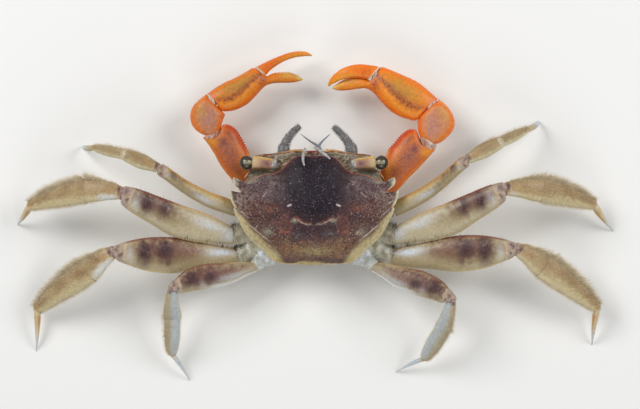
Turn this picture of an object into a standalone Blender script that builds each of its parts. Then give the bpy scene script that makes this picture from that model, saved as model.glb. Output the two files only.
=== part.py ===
"""A shore crab at life size, a still model that stands on the tips of its eight walking legs.

The crab faces -Y with its back up, and its own left side is +X. Lengths below are in millimetres and
angles in degrees. Limbs are worked out for the left side, and the right side's are mirrored in X.
The origin is on the floor, in the middle of the whole model's box.
"""

import math

import bmesh
import bpy
import numpy as np
from mathutils import Vector

MM = 0.001
CUT = 0.12  # width of the thin cut between neighbouring plates
SIDES = {"left": 1, "right": -1}

# ---- shell -------------------------------------------------------------------------------------

# Left half of the carapace's margin, from the middle of the front to the middle of the rear.
CARAPACE_MARGIN = (
    (0.0, -6.92),  # front
    (2.05, -6.89),
    (3.21, -6.25),  # inner corner of the orbit
    (4.24, -5.16),
    (5.65, -4.64),
    (7.59, -4.06),
    (8.87, -3.61),
    (9.60, -3.74),
    (10.22, -4.19),  # outer orbital tooth
    (10.42, -3.48),
    (9.45, -2.30),  # first notch
    (10.84, -2.45),  # second tooth
    (10.74, -1.55),
    (10.15, -0.35),  # second notch
    (10.35, -0.17),
    (9.77, 1.15),
    (8.74, 3.08),
    (7.20, 4.63),
    (5.65, 6.04),
    (4.24, 6.94),  # rear corner
    (2.10, 7.05),
    (0.0, 7.05),
)
CARAPACE_TOP = 10.3
DOME_POWERS = (2.4, 0.8)  # how flat the top is, and how steep its rim
DOME_RINGS = (0.93, 0.80, 0.60, 0.35, 0.12)
MARGIN_EDGE = 0.45  # thickness of the margin
SMOOTH_OVAL = (9.2, 6.6)  # half-width and half-length of the oval that the inner rings ease into

# The body under the carapace: the left half of its upper edge, front to rear.
THORAX_EDGE = (
    (0.0, -7.75),  # mouth frame
    (2.2, -7.60),
    (4.2, -7.40),  # ridge under the orbit
    (6.2, -7.30),
    (7.75, -7.15),
    (8.05, -6.30),
    (8.00, -5.20),
    (8.70, -4.30),
    (9.35, -3.20),
    (9.55, -1.60),
    (9.50, 0.20),
    (8.90, 2.10),
    (7.60, 3.90),
    (5.90, 5.30),
    (4.20, 6.10),
    (0.0, 6.15),
)
# Rings of the underside: height, width and length as shares of the upper edge, shift towards the rear.
THORAX_RINGS = (
    (1.75, 0.52, 0.60, 0.45),
    (1.95, 0.66, 0.71, 0.35),
    (3.10, 0.84, 0.86, 0.20),
    (4.50, 0.93, 0.95, 0.05),
)

# Tail flap: distance back, height, half-width, from its hinge under the rear edge to its tip.
PLEON_PATH = (
    (6.25, 4.80, 2.70),
    (6.78, 4.20, 2.60),
    (6.78, 3.00, 2.45),
    (5.90, 1.70, 2.20),
    (4.20, 1.22, 1.80),
    (1.60, 1.22, 1.25),
    (-0.60, 1.22, 0.85),
    (-1.60, 1.22, 0.45),
)
PLEON_THICKNESS = 0.70

# ---- head --------------------------------------------------------------------------------------

EYESTALK = ((4.70, -6.10, 7.35), (8.00, -6.02, 7.40))
EYESTALK_STATIONS = (
    (0.00, 0.50, -0.50, 0.95),
    (0.15, 0.70, -0.68, 1.30),
    (0.50, 0.76, -0.80, 1.45),
    (0.85, 0.74, -0.78, 1.45),
    (1.00, 0.66, -0.70, 1.30),
)
CORNEA_CENTRE = (8.72, -6.02, 7.40)
CORNEA_RADII = (0.86, 0.84, 0.80)

# Outer mouthparts: the plate's two ends, then the three-jointed feeler that it carries.
MAXILLIPED = ((1.75, -6.15, 1.95), (2.75, -8.20, 4.55))
MAXILLIPED_STATIONS = (
    (0.00, 0.75, -0.75, 0.60),
    (0.10, 1.10, -1.05, 0.70),
    (0.45, 1.25, -1.20, 0.75),
    (0.55, 1.15, -1.10, 0.75),
    (0.85, 1.35, -1.15, 0.75),
    (1.00, 0.95, -0.90, 0.65),
)
PALP_WIDTHS = (1.50, 1.25, 0.95, 0.60)
PALPS = {
    "left": ((4.05, -7.95, 5.00), (3.38, -9.36, 4.90), (2.21, -10.40, 4.70), (1.55, -11.00, 4.55)),
    "right": ((4.55, -7.90, 5.00), (4.16, -9.15, 4.90), (2.99, -10.40, 4.70), (2.15, -11.05, 4.55)),
}
FEELER_THICKNESS = 0.50
# Short inner feelers, which reach forwards from under the front, and the longer outer ones that lie on it.
ANTENNULES = {
    "left": ((0.60, -8.05, 6.90), (1.05, -8.95, 7.00), (1.72, -9.74, 6.80)),
    "right": ((0.60, -8.05, 6.90), (1.20, -8.90, 7.00), (2.05, -9.65, 6.80)),
}
ANTENNAE = {
    "left": ((1.25, -8.30, 7.60), (1.32, -7.45, 8.75), (1.36, -6.40, 9.35), (1.20, -5.70, 9.85)),
    "right": ((0.95, -8.30, 7.60), (1.60, -7.60, 8.70), (2.30, -7.10, 8.95), (3.05, -6.85, 8.95)),
}

# ---- walking legs ------------------------------------------------------------------------------

# For each pair, from the front: lengths of merus, carpus, propodus and dactylus, then the widest part
# of each, and how thick each is.
LEG_PAIRS = {
    1: {
        "lengths": (11.8, 4.8, 5.5, 4.1),
        "widths": (2.15, 1.90, 1.70, 0.95),
        "thick": (1.70, 1.45, 1.25, 0.80),
    },
    2: {
        "lengths": (15.8, 4.8, 8.65, 5.15),
        "widths": (4.20, 3.25, 3.30, 1.05),
        "thick": (2.00, 1.60, 1.50, 0.85),
    },
    3: {
        "lengths": (16.6, 4.4, 9.70, 5.55),
        "widths": (4.70, 3.30, 3.50, 1.00),
        "thick": (2.00, 1.60, 1.50, 0.85),
    },
    4: {
        "lengths": (11.3, 4.45, 5.9, 4.25),
        "widths": (3.40, 2.35, 2.30, 0.85),
        "thick": (1.55, 1.30, 1.20, 0.75),
    },
}
# Where each leg leaves its basal segments, which way each segment points, backwards from straight
# sideways, and how far each rises. The dactylus has no rise of its own: it drops to the floor.
LEG_POSES = {
    ("left", 1): ((10.10, -0.15, 4.00), (-27.9, -21.3, -12.6, -6.7), (17.5, -4, -38)),
    ("left", 2): ((10.50, 3.30, 4.30), (-21, -4, 14.5, 50.7), (15.8, -9, -24.5)),
    ("left", 3): ((9.90, 6.18, 3.25), (-2.6, 36.6, 36, 87.3), (15.5, -19, -25.5)),
    ("left", 4): ((7.70, 7.25, 4.40), (15.5, 88, 88.1, 121.7), (15, -34, -29)),
    ("right", 1): ((10.45, -0.15, 4.00), (-34.5, -26.6, -25.3, -31.8), (17, -3, -40)),
    ("right", 2): ((10.50, 3.30, 4.30), (-22.9, 1.5, 14.7, 51.3), (14, -9, -30)),
    ("right", 3): ((10.15, 6.18, 3.25), (-4, 32.1, 37.5, 94.6), (15, -19, -18)),
    ("right", 4): ((7.80, 7.25, 4.40), (23.8, 104.5, 120.5, 152.6), (17, -28, -36)),
}
SEGMENTS = ("merus", "carpus", "propodus", "dactylus")
TIP_HEIGHT = 0.16  # height of a leg tip's centre above the floor
# A segment's outline: share of its length, then its rear edge, front edge and thickness, as shares of
# the segment's width and thickness.
SLENDER_MERUS = (
    (-0.03, 0.46, -0.38, 0.80),
    (0.12, 0.60, -0.34, 1.00),
    (0.37, 0.74, -0.15, 1.00),
    (0.62, 0.67, -0.13, 1.00),
    (0.85, 0.48, -0.26, 0.95),
    (0.97, 0.38, -0.33, 0.85),
    (1.03, 0.26, -0.27, 0.65),
)
LONG_MERUS = (
    (-0.03, 0.26, -0.20, 0.75),
    (0.10, 0.40, -0.27, 0.90),
    (0.30, 0.62, -0.33, 1.00),
    (0.48, 0.69, -0.31, 1.00),
    (0.70, 0.56, -0.31, 0.95),
    (0.90, 0.42, -0.30, 0.85),
    (1.02, 0.22, -0.22, 0.65),
)
OVAL_MERUS = (
    (-0.03, 0.20, -0.20, 0.75),
    (0.12, 0.32, -0.29, 0.90),
    (0.32, 0.41, -0.38, 1.00),
    (0.55, 0.52, -0.48, 1.00),
    (0.74, 0.47, -0.44, 0.95),
    (0.90, 0.31, -0.31, 0.85),
    (1.02, 0.12, -0.12, 0.60),
)
HIND_MERUS = (
    (-0.03, 0.22, -0.12, 0.75),
    (0.14, 0.30, -0.28, 0.90),
    (0.36, 0.43, -0.42, 1.00),
    (0.60, 0.38, -0.58, 1.00),
    (0.82, 0.28, -0.52, 0.95),
    (0.95, 0.25, -0.33, 0.80),
    (1.03, 0.16, -0.18, 0.60),
)
MERI = {1: SLENDER_MERUS, 2: LONG_MERUS, 3: OVAL_MERUS, 4: HIND_MERUS}
CARPUS = (
    (-0.06, 0.16, -0.18, 0.55),
    (0.16, 0.22, -0.32, 0.80),
    (0.50, 0.33, -0.43, 0.95),
    (0.85, 0.46, -0.49, 1.00),
    (1.06, 0.46, -0.50, 1.00),
)
PROPODUS = (
    (-0.05, 0.46, -0.52, 1.00),
    (0.25, 0.42, -0.52, 0.95),
    (0.50, 0.34, -0.45, 0.85),
    (0.72, 0.27, -0.37, 0.75),
    (0.90, 0.21, -0.25, 0.62),
    (1.03, 0.13, -0.14, 0.50),
)
DACTYLUS = (
    (-0.04, 0.48, -0.48, 0.95),
    (0.15, 0.50, -0.52, 1.00),
    (0.45, 0.34, -0.46, 0.80),
    (0.75, 0.24, -0.36, 0.68),
    (1.05, 0.27, -0.27, 0.62),
)

# ---- claws -------------------------------------------------------------------------------------

CLAW_HEADING = -30
CLAW_MERUS = (
    (-0.05, 0.85, -1.10, 1.90),
    (0.15, 1.00, -1.90, 2.20),
    (0.40, 1.25, -2.65, 2.50),
    (0.70, 1.28, -2.72, 2.60),
    (0.88, 1.40, -2.60, 2.50),
    (0.97, 1.55, -2.10, 2.30),
    (1.03, 1.60, -1.55, 2.10),
)
CLAW_CARPUS = (
    (-0.20, 0.95, -0.15, 1.60),
    (-0.05, 1.85, -0.90, 2.10),
    (0.20, 2.60, -1.20, 2.50),
    (0.52, 2.90, -1.55, 2.60),
    (0.82, 2.55, -0.75, 2.50),
    (1.05, 1.70, 0.10, 2.10),
    (1.20, 1.00, 0.55, 1.50),
)
# Each claw's joints and the way that each joint's cut faces, how much stouter than the left its first
# segments are, then the outlines of its palm, its fixed finger and its movable finger. The left claw
# is open; the right is shut and deeper.
CLAWS = {
    "left": {
        "hip": (9.10, -3.10, 3.60),
        "elbow": (13.25, -10.25, 4.60),
        "wrist": (13.15, -14.15, 4.70),
        "knuckle": (6.90, -17.94, 4.10),
        "tip": (0.20, -20.08, 3.20),
        "thumb": ((6.30, -17.05, 4.00), (1.30, -17.15, 3.30)),
        "cut_headings": (-60.5, -139.5, -135.0),
        "bulk": 1.0,
        "palm": (
            (-0.10, 1.15, -1.15, 1.80),
            (0.06, 1.33, -1.60, 2.20),
            (0.22, 1.42, -2.22, 2.40),
            (0.42, 1.34, -2.55, 2.50),
            (0.62, 1.14, -2.38, 2.40),
            (0.82, 1.04, -1.93, 2.10),
            (1.02, 0.86, -1.70, 1.80),
        ),
        "thumb_outline": (
            (-0.15, 0.10, -0.55, 1.30),
            (0.00, 0.22, -0.60, 1.40),
            (0.22, 0.66, -0.56, 1.30),
            (0.45, 0.86, -0.54, 1.20),
            (0.65, 0.80, -0.52, 1.05),
            (0.84, 0.42, -0.45, 0.80),
            (1.00, 0.22, -0.22, 0.50),
        ),
        "finger_outline": (
            (-0.06, 0.80, -0.62, 1.50),
            (0.06, 1.01, -0.56, 1.45),
            (0.20, 1.16, -0.14, 1.30),
            (0.40, 1.28, 0.24, 1.15),
            (0.62, 1.32, 0.44, 1.00),
            (0.80, 1.13, 0.42, 0.80),
            (0.93, 0.60, 0.08, 0.60),
            (1.00, 0.28, -0.18, 0.50),
        ),
    },
    "right": {
        "hip": (9.30, -3.00, 3.60),
        "elbow": (14.93, -9.10, 4.60),
        "wrist": (14.90, -13.26, 4.70),
        "knuckle": (7.87, -17.60, 4.10),
        "tip": (1.80, -16.25, 3.30),
        "thumb": ((7.30, -16.50, 4.00), (2.25, -15.95, 3.30)),
        "cut_headings": (-53.5, -133.5, -155.0),
        "bulk": 1.13,
        "palm": (
            (-0.10, 1.50, -1.60, 2.00),
            (0.05, 1.75, -2.15, 2.40),
            (0.20, 2.00, -2.65, 2.70),
            (0.38, 2.14, -2.92, 2.80),
            (0.58, 1.96, -2.72, 2.70),
            (0.80, 1.68, -2.18, 2.40),
            (1.02, 1.25, -1.90, 2.00),
        ),
        "thumb_outline": (
            (-0.15, 0.10, -0.50, 1.30),
            (0.00, 0.22, -0.56, 1.40),
            (0.18, 0.52, -0.56, 1.30),
            (0.38, 0.88, -0.56, 1.20),
            (0.56, 0.92, -0.58, 1.10),
            (0.75, 0.70, -0.52, 0.95),
            (0.90, 0.30, -0.38, 0.75),
            (1.00, 0.20, -0.22, 0.50),
        ),
        "finger_outline": (
            (-0.09, 0.86, -0.62, 1.50),
            (0.05, 1.32, -0.55, 1.45),
            (0.24, 1.72, 0.02, 1.30),
            (0.45, 1.86, 0.48, 1.15),
            (0.67, 1.63, 0.62, 1.00),
            (0.86, 1.05, 0.46, 0.75),
            (1.00, 0.26, -0.18, 0.50),
        ),
    },
}

COLOURS = {
    "shell": ((0.16, 0.09, 0.09, 1), 0.42),
    "belly": ((0.62, 0.56, 0.42, 1), 0.50),
    "leg": ((0.52, 0.43, 0.29, 1), 0.48),
    "claw": ((0.80, 0.27, 0.05, 1), 0.38),
    "feeler": ((0.35, 0.34, 0.32, 1), 0.60),
    "cornea": ((0.16, 0.17, 0.13, 1), 0.12),
}


def clear_scene():
    for obj in list(bpy.data.objects):
        bpy.data.objects.remove(obj)


def new_collection(name, helper=False):
    collection = bpy.data.collections.new(name)
    collection.hide_render = helper
    bpy.context.scene.collection.children.link(collection)
    return collection


def make_materials():
    materials = {}
    for name, (colour, roughness) in COLOURS.items():
        material = bpy.data.materials.new(name)
        material.use_nodes = True
        shader = material.node_tree.nodes["Principled BSDF"]
        shader.inputs["Base Color"].default_value = colour
        shader.inputs["Roughness"].default_value = roughness
        shader.inputs["Metallic"].default_value = 0.0
        materials[name] = material
    return materials


# ---- shapes ------------------------------------------------------------------------------------


def loft(rings, planes=(), side=1):
    """A closed bmesh through rings of points (in mm), mirrored in X for the right side.

    Each plane is (point, normal) and takes away what lies on its normal's side.
    """
    bm = bmesh.new()
    rows = [[bm.verts.new(Vector((x * side, y, z)) * MM) for x, y, z in ring] for ring in rings]
    for row, following in zip(rows, rows[1:]):
        for i in range(len(row)):
            j = (i + 1) % len(row)
            bm.faces.new((row[i], row[j], following[j], following[i]))
    bm.faces.new(rows[0])
    bm.faces.new(rows[-1])
    for point, normal in planes:
        trim(bm, mirrored(point, side) * MM, mirrored(normal, side))
    bmesh.ops.recalc_face_normals(bm, faces=bm.faces)
    return bm


def trim(bm, point, normal):
    """Cuts the bmesh at a plane and closes it with one flat face."""
    everything = bm.verts[:] + bm.edges[:] + bm.faces[:]
    bmesh.ops.bisect_plane(bm, geom=everything, plane_co=point, plane_no=normal, clear_outer=True)
    bmesh.ops.holes_fill(bm, edges=[edge for edge in bm.edges if edge.is_boundary])


def mirrored(point, side):
    return Vector((point[0] * side, point[1], point[2]))


def add_object(name, bm, material, collection):
    mesh = bpy.data.meshes.new(name)
    bm.to_mesh(mesh)
    bm.free()
    mesh.materials.append(material)
    mesh.shade_smooth()
    mesh.set_sharp_from_angle(angle=math.radians(40))
    obj = bpy.data.objects.new(name, mesh)
    collection.objects.link(obj)
    return obj


def closed_loop(half):
    """The whole outline from its left half, which starts and ends on the middle line."""
    return list(half) + [(-x, y) for x, y in half[-2:0:-1]]


def direction(heading, rise):
    """Unit vector that points outwards from the body, turned backwards and upwards."""
    h, r = math.radians(heading), math.radians(rise)
    return Vector((math.cos(h) * math.cos(r), math.sin(h) * math.cos(r), math.sin(r)))


def limb_rings(start, end, stations, count, width=1.0, thick=1.0):
    """Oval rings along the line from start to end.

    A station is (share of the length, edge on the left of the line, edge on its right, thickness),
    where left and right are seen from above, looking along the line.
    """
    start, end = Vector(start), Vector(end)
    along = (end - start).normalized()
    left = Vector((0, 0, 1)).cross(along).normalized()
    up = along.cross(left)
    rings = []
    for share, left_edge, right_edge, thickness in stations:
        centre = start.lerp(end, share) + left * (left_edge + right_edge) / 2 * width
        half = (left_edge - right_edge) / 2 * width
        rise = thickness / 2 * thick
        turns = [2 * math.pi * k / count for k in range(count)]
        rings.append([centre + left * half * math.cos(a) + up * rise * math.sin(a) for a in turns])
    return rings


def feeler_rings(points, widths, count=8):
    """Round rings at each point of a bent feeler, square to the way it runs there."""
    points = [Vector(p) for p in points]
    rings = []
    for i, (point, width) in enumerate(zip(points, widths)):
        along = (points[min(i + 1, len(points) - 1)] - points[max(i - 1, 0)]).normalized()
        across = along.cross(Vector((0, 0, 1))).normalized()
        up = across.cross(along)
        turns = [2 * math.pi * k / count for k in range(count)]
        rings.append([point + (across * math.cos(a) + up * math.sin(a)) * width / 2 for a in turns])
    return rings


def cut_at(point, normal, keep_before):
    """One side of a thin cut, as a plane for loft()."""
    normal = Vector(normal).normalized()
    if keep_before:
        return Vector(point) - normal * CUT / 2, normal
    return Vector(point) + normal * CUT / 2, -normal


# ---- body --------------------------------------------------------------------------------------


def margin_height(x, y):
    return 7.3 - 0.11 * y - 0.008 * x * x


def parting_height(y):
    """The seam between the carapace and the body under it, which sinks towards the rear."""
    return 5.75 - 0.09 * y


def eased(point, share):
    """A margin point drawn towards the smooth oval, as the inner rings of the dome are."""
    x, y = point
    angle = math.atan2(y, x)
    width, length = SMOOTH_OVAL
    reach = width * length / math.hypot(length * math.cos(angle), width * math.sin(angle))
    blend = min(1, (1 - share) * 2.5)
    return (
        x * (1 - blend) + reach * math.cos(angle) * blend,
        y * (1 - blend) + reach * math.sin(angle) * blend,
    )


def build_carapace(materials, collection):
    margin = closed_loop(CARAPACE_MARGIN)
    flat, steep = DOME_POWERS
    inner = [(x * 0.88, y * 0.88) for x, y in margin]
    rings = [
        [(x, y, parting_height(y) + CUT) for x, y in inner],
        [(x * 0.985, y * 0.985, margin_height(x, y) - MARGIN_EDGE) for x, y in margin],
        [(x, y, margin_height(x, y)) for x, y in margin],
    ]
    for share in DOME_RINGS:
        lift = (1 - share**flat) ** steep
        ring = []
        for point in margin:
            edge = margin_height(*point)
            x, y = eased(point, share)
            ring.append((x * share, y * share, edge + (CARAPACE_TOP - edge) * lift))
        rings.append(ring)
    add_object("carapace", loft(rings), materials["shell"], collection)


def limb_root(hip):
    """Where a limb's basal segments start, inside the body."""
    return Vector((hip[0] * 0.62, hip[1] * 0.70 - 0.2, 3.3))


def join(obj, name, bm, material, cutters):
    """Unites a piece with an object, by a Boolean with a hidden helper."""
    helper = add_object(name, bm, material, cutters)
    helper.hide_render = True
    helper.display_type = "WIRE"
    union = obj.modifiers.new(name, "BOOLEAN")
    union.operation = "UNION"
    union.solver = "EXACT"
    union.object = helper


def hip_stub(side, hip, heading, thick, width):
    """The short basal segments of a limb, from inside the body out to its hip."""
    hip = Vector(hip)
    root = limb_root(hip)
    stations = ((0.0, 0.5, -0.5, 0.85), (0.6, 0.5, -0.5, 1.0), (1.0, 0.46, -0.46, 0.9), (1.1, 0.4, -0.4, 0.8))
    rings = limb_rings(root, hip, stations, 10, width, thick)
    outwards = (hip - root).normalized() + direction(heading, 0)
    return loft(rings, [cut_at(hip, outwards, True)], side)


def build_thorax(materials, collection, cutters):
    edge = closed_loop(THORAX_EDGE)
    rings = []
    for height, width, length, shift in THORAX_RINGS:
        rings.append([(x * width, y * length + shift, height) for x, y in edge])
    rings.append([(x, y, parting_height(y)) for x, y in edge])
    thorax = add_object("thorax", loft(rings), materials["belly"], collection)
    for side_name, side in SIDES.items():
        for pair, leg in LEG_PAIRS.items():
            hip, headings, _ = LEG_POSES[side_name, pair]
            width = min(leg["widths"][0] * 0.62, 2.1)
            stub = hip_stub(side, hip, headings[0], leg["thick"][0] * 0.9, width)
            join(thorax, f"coxa{pair}_{side_name}", stub, materials["belly"], cutters)
        stub = hip_stub(side, CLAWS[side_name]["hip"], CLAW_HEADING, 2.1, 2.2)
        join(thorax, f"claw_coxa_{side_name}", stub, materials["belly"], cutters)


def build_pleon(materials, collection):
    """The flap: flat oval rings square to a path that hooks under the body."""
    path = [Vector((0, y, z)) for y, z, _ in PLEON_PATH]
    rings = []
    for i, point in enumerate(path):
        along = (path[min(i + 1, len(path) - 1)] - path[max(i - 1, 0)]).normalized()
        outwards = along.cross(Vector((1, 0, 0)))
        turns = [2 * math.pi * k / 12 for k in range(12)]
        half = PLEON_PATH[i][2]
        ring = [
            point + Vector((math.cos(a) * half, 0, 0)) + outwards * math.sin(a) * PLEON_THICKNESS / 2
            for a in turns
        ]
        rings.append(ring)
    add_object("pleon", loft(rings), materials["belly"], collection)


# ---- head --------------------------------------------------------------------------------------


def build_eye(side_name, side, materials, collection):
    start, end = EYESTALK
    seam = Vector((end[0], end[1], end[2]))
    rings = limb_rings(start, (end[0] + 0.15, end[1], end[2]), EYESTALK_STATIONS, 10)
    stalk = loft(rings, [cut_at(seam, (1, 0, 0), True)], side)
    add_object(f"eyestalk_{side_name}", stalk, materials["leg"], collection)
    eye = bmesh.new()
    bmesh.ops.create_uvsphere(eye, u_segments=12, v_segments=8, radius=1)
    bmesh.ops.scale(eye, vec=Vector(CORNEA_RADII) * MM, verts=eye.verts)
    bmesh.ops.translate(eye, vec=mirrored(CORNEA_CENTRE, side) * MM, verts=eye.verts)
    point, normal = cut_at(seam, (1, 0, 0), False)
    trim(eye, mirrored(point, side) * MM, mirrored(normal, side))
    bmesh.ops.recalc_face_normals(eye, faces=eye.faces)
    add_object(f"eye_{side_name}", eye, materials["cornea"], collection)


def build_mouthparts(side_name, side, materials, collection):
    plate = loft(limb_rings(*MAXILLIPED, MAXILLIPED_STATIONS, 10), side=side)
    add_object(f"maxilliped_{side_name}", plate, materials["belly"], collection)
    palp = loft(feeler_rings(PALPS[side_name], PALP_WIDTHS), side=side)
    add_object(f"maxilliped_palp_{side_name}", palp, materials["feeler"], collection)


def build_feelers(side_name, side, materials, collection):
    for kind, routes in (("antennule", ANTENNULES), ("antenna", ANTENNAE)):
        route = routes[side_name]
        rings = feeler_rings(route, [FEELER_THICKNESS] * len(route))
        add_object(f"{kind}_{side_name}", loft(rings, side=side), materials["feeler"], collection)


# ---- limbs -------------------------------------------------------------------------------------


def leg_joints(side_name, pair):
    """The leg's five joints, hip to tip, for the left side; the tip's centre is just above the floor."""
    hip, headings, rises = LEG_POSES[side_name, pair]
    lengths = LEG_PAIRS[pair]["lengths"]
    joints = [Vector(hip)]
    for heading, rise, length in zip(headings, rises, lengths):
        joints.append(joints[-1] + direction(heading, rise) * length)
    drop = math.degrees(math.asin((joints[-1].z - TIP_HEIGHT) / lengths[-1]))
    joints.append(joints[-1] + direction(headings[-1], -drop) * lengths[-1])
    return joints


def build_leg(side_name, side, pair, materials, collection):
    joints = leg_joints(side_name, pair)
    runs = [(b - a).normalized() for a, b in zip(joints, joints[1:])]
    root = limb_root(joints[0])
    first = (joints[0] - root).normalized() + direction(LEG_POSES[side_name, pair][1][0], 0)
    normals = [first] + [a + b for a, b in zip(runs, runs[1:])]
    outlines = (MERI[pair], CARPUS, PROPODUS, DACTYLUS)
    sizes = zip(LEG_PAIRS[pair]["widths"], LEG_PAIRS[pair]["thick"])
    for i, (segment, outline, (width, thick)) in enumerate(zip(SEGMENTS, outlines, sizes)):
        planes = [cut_at(joints[i], normals[i], False)]
        if segment == "dactylus":
            planes.append((Vector((0, 0, 0)), Vector((0, 0, -1))))
        else:
            planes.append(cut_at(joints[i + 1], normals[i + 1], True))
        count = 10 if segment == "merus" else 8
        rings = limb_rings(joints[i], joints[i + 1], outline, count, width, thick)
        add_object(f"leg{pair}_{segment}_{side_name}", loft(rings, planes, side), materials["leg"], collection)


def build_claw(side_name, side, materials, collection, cutters):
    claw = CLAWS[side_name]
    hip, elbow, wrist, knuckle = (Vector(p) for p in (claw["hip"], claw["elbow"], claw["wrist"], claw["knuckle"]))
    root = limb_root(hip)
    hip_normal = (hip - root).normalized() + direction(CLAW_HEADING, 0)
    normals = [hip_normal] + [direction(heading, 0) for heading in claw["cut_headings"]]
    joints = [hip, elbow, wrist, knuckle, Vector(claw["tip"])]
    outlines = (CLAW_MERUS, CLAW_CARPUS, claw["palm"], claw["finger_outline"])
    for i, (segment, outline) in enumerate(zip(("merus", "carpus", "palm", "finger"), outlines)):
        bulk = claw["bulk"] if segment in ("merus", "carpus") else 1.0
        planes = [cut_at(joints[i], normals[i], False)]
        if segment != "finger":
            planes.append(cut_at(joints[i + 1], normals[i + 1], True))
        rings = limb_rings(joints[i], joints[i + 1], outline, 12, bulk, bulk)
        name = f"claw_{segment}_{side_name}"
        piece = add_object(name, loft(rings, planes, side), materials["claw"], collection)
        if segment == "palm":
            thumb = loft(limb_rings(*claw["thumb"], claw["thumb_outline"], 10), side=side)
            join(piece, f"thumb_{side_name}", thumb, materials["claw"], cutters)


# ---- whole crab --------------------------------------------------------------------------------


def centre_on_floor(collections):
    """Moves everything so that the origin is under the middle of the model's box."""
    bpy.context.view_layer.update()
    corners = []
    for obj in collections[0].objects:
        corners += [obj.matrix_world @ Vector(corner) for corner in obj.bound_box]
    corners = np.array(corners)
    middle = (corners.min(axis=0) + corners.max(axis=0)) / 2
    stand = bpy.data.objects.new("crab", None)
    collections[0].objects.link(stand)
    for collection in collections:
        for obj in collection.objects:
            if obj is not stand:
                obj.parent = stand
    stand.location = (-middle[0], -middle[1], 0)
    bpy.context.view_layer.update()


def main():
    clear_scene()
    crab = new_collection("shore crab")
    cutters = new_collection("joined pieces", helper=True)
    materials = make_materials()
    build_carapace(materials, crab)
    build_thorax(materials, crab, cutters)
    build_pleon(materials, crab)
    for side_name, side in SIDES.items():
        build_eye(side_name, side, materials, crab)
        build_mouthparts(side_name, side, materials, crab)
        build_feelers(side_name, side, materials, crab)
        build_claw(side_name, side, materials, crab, cutters)
        for pair in LEG_PAIRS:
            build_leg(side_name, side, pair, materials, crab)
    centre_on_floor([crab, cutters])


main()
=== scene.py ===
import math

import bpy
import numpy as np
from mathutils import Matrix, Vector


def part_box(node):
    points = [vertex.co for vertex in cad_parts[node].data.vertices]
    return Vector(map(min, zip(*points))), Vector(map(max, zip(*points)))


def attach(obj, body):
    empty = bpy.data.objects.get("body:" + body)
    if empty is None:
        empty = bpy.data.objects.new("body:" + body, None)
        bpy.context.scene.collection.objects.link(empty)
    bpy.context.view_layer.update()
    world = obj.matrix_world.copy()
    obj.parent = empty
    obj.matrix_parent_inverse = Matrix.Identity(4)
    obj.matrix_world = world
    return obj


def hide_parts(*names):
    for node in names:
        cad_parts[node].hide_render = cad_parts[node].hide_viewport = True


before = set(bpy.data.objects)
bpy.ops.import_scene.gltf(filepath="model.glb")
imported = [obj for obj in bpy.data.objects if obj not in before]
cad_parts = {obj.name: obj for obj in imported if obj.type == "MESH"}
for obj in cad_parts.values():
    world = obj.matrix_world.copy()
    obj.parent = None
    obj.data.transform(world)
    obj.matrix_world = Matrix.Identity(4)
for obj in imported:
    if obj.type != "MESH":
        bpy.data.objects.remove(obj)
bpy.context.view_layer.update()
print("frame loaded")

scene = bpy.context.scene
scene.view_settings.view_transform = "Standard"

# Everything below is worked out in millimetres from the middle of the back, with the crab facing -Y
# and its own left side at +X, and placed on the frame by this origin.
mm = 0.001
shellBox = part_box("carapace")
rearReach = 7.05  # from the middle of the back to the carapace's rear edge
origin = np.array([(shellBox[0].x + shellBox[1].x) / 2, shellBox[1].y - rearReach * mm, 0.0])
sides = {"left": 1, "right": -1}

# Camera, floor and light.

studio = {
    "cameraHeight": 351.7, "cameraX": -0.78, "cameraY": -0.715, "lens": 150,
    "floorTone": (240, 239, 236), "floorRadius": 900,
    "lights": [  # place in mm, size in mm, power in watts
        ((190, -150, 230), 150, 0.62),
        ((-210, -110, 210), 150, 0.42),
        ((-20, 260, 190), 200, 0.26),
    ],
    "roomTone": (205, 208, 212), "roomLight": 0.42,
}


def tone(red, green, blue):
    # A screen colour, 0 to 255, as the linear light that shaders work in.
    c = np.array([red, green, blue]) / 255.0
    return np.where(c <= 0.04045, c / 12.92, ((c + 0.055) / 1.055) ** 2.4)


def placed(points):
    # Points in mm from the middle of the back, as metres in the frame.
    return np.asarray(points) * mm + origin


def setUpStudio():
    # A camera straight above, a pale round floor, three soft lamps aimed at the crab and an even room.
    cameraData = bpy.data.cameras.new("camera")
    cameraData.lens = studio["lens"]
    cameraData.sensor_width = 36
    cameraData.clip_start = 0.005
    camera = bpy.data.objects.new("camera", cameraData)
    camera.location = placed([studio["cameraX"], studio["cameraY"], studio["cameraHeight"]])
    camera.rotation_euler = (0, 0, math.pi)
    scene.collection.objects.link(camera)
    scene.camera = camera
    turn = np.linspace(0, 2 * np.pi, 96, endpoint=False)
    rim = np.stack([np.cos(turn), np.sin(turn), 0 * turn], 1) * studio["floorRadius"] * mm
    mesh = bpy.data.meshes.new("floor")
    mesh.from_pydata(rim.tolist(), [], [list(range(96))])
    floor = bpy.data.objects.new("floor", mesh)
    scene.collection.objects.link(floor)
    material = bpy.data.materials.new("floor")
    material.use_nodes = True
    shader = material.node_tree.nodes["Principled BSDF"]
    shader.inputs["Base Color"].default_value = (*tone(*studio["floorTone"]), 1)
    shader.inputs["Roughness"].default_value = 0.8
    mesh.materials.append(material)
    for place, size, power in studio["lights"]:
        lightData = bpy.data.lights.new("softbox", "AREA")
        lightData.size = size * mm
        lightData.energy = power
        light = bpy.data.objects.new("softbox", lightData)
        light.location = placed(place)
        aim = -np.array(place, float)
        light.rotation_euler = (
            math.atan2(math.hypot(aim[0], aim[1]), -aim[2]), 0, math.atan2(aim[1], aim[0]) - math.pi / 2)
        scene.collection.objects.link(light)
    world = bpy.data.worlds.new("room")
    world.use_nodes = True
    room = world.node_tree.nodes["Background"]
    room.inputs["Color"].default_value = (*tone(*studio["roomTone"]), 1)
    room.inputs["Strength"].default_value = studio["roomLight"]
    scene.world = world


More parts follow.
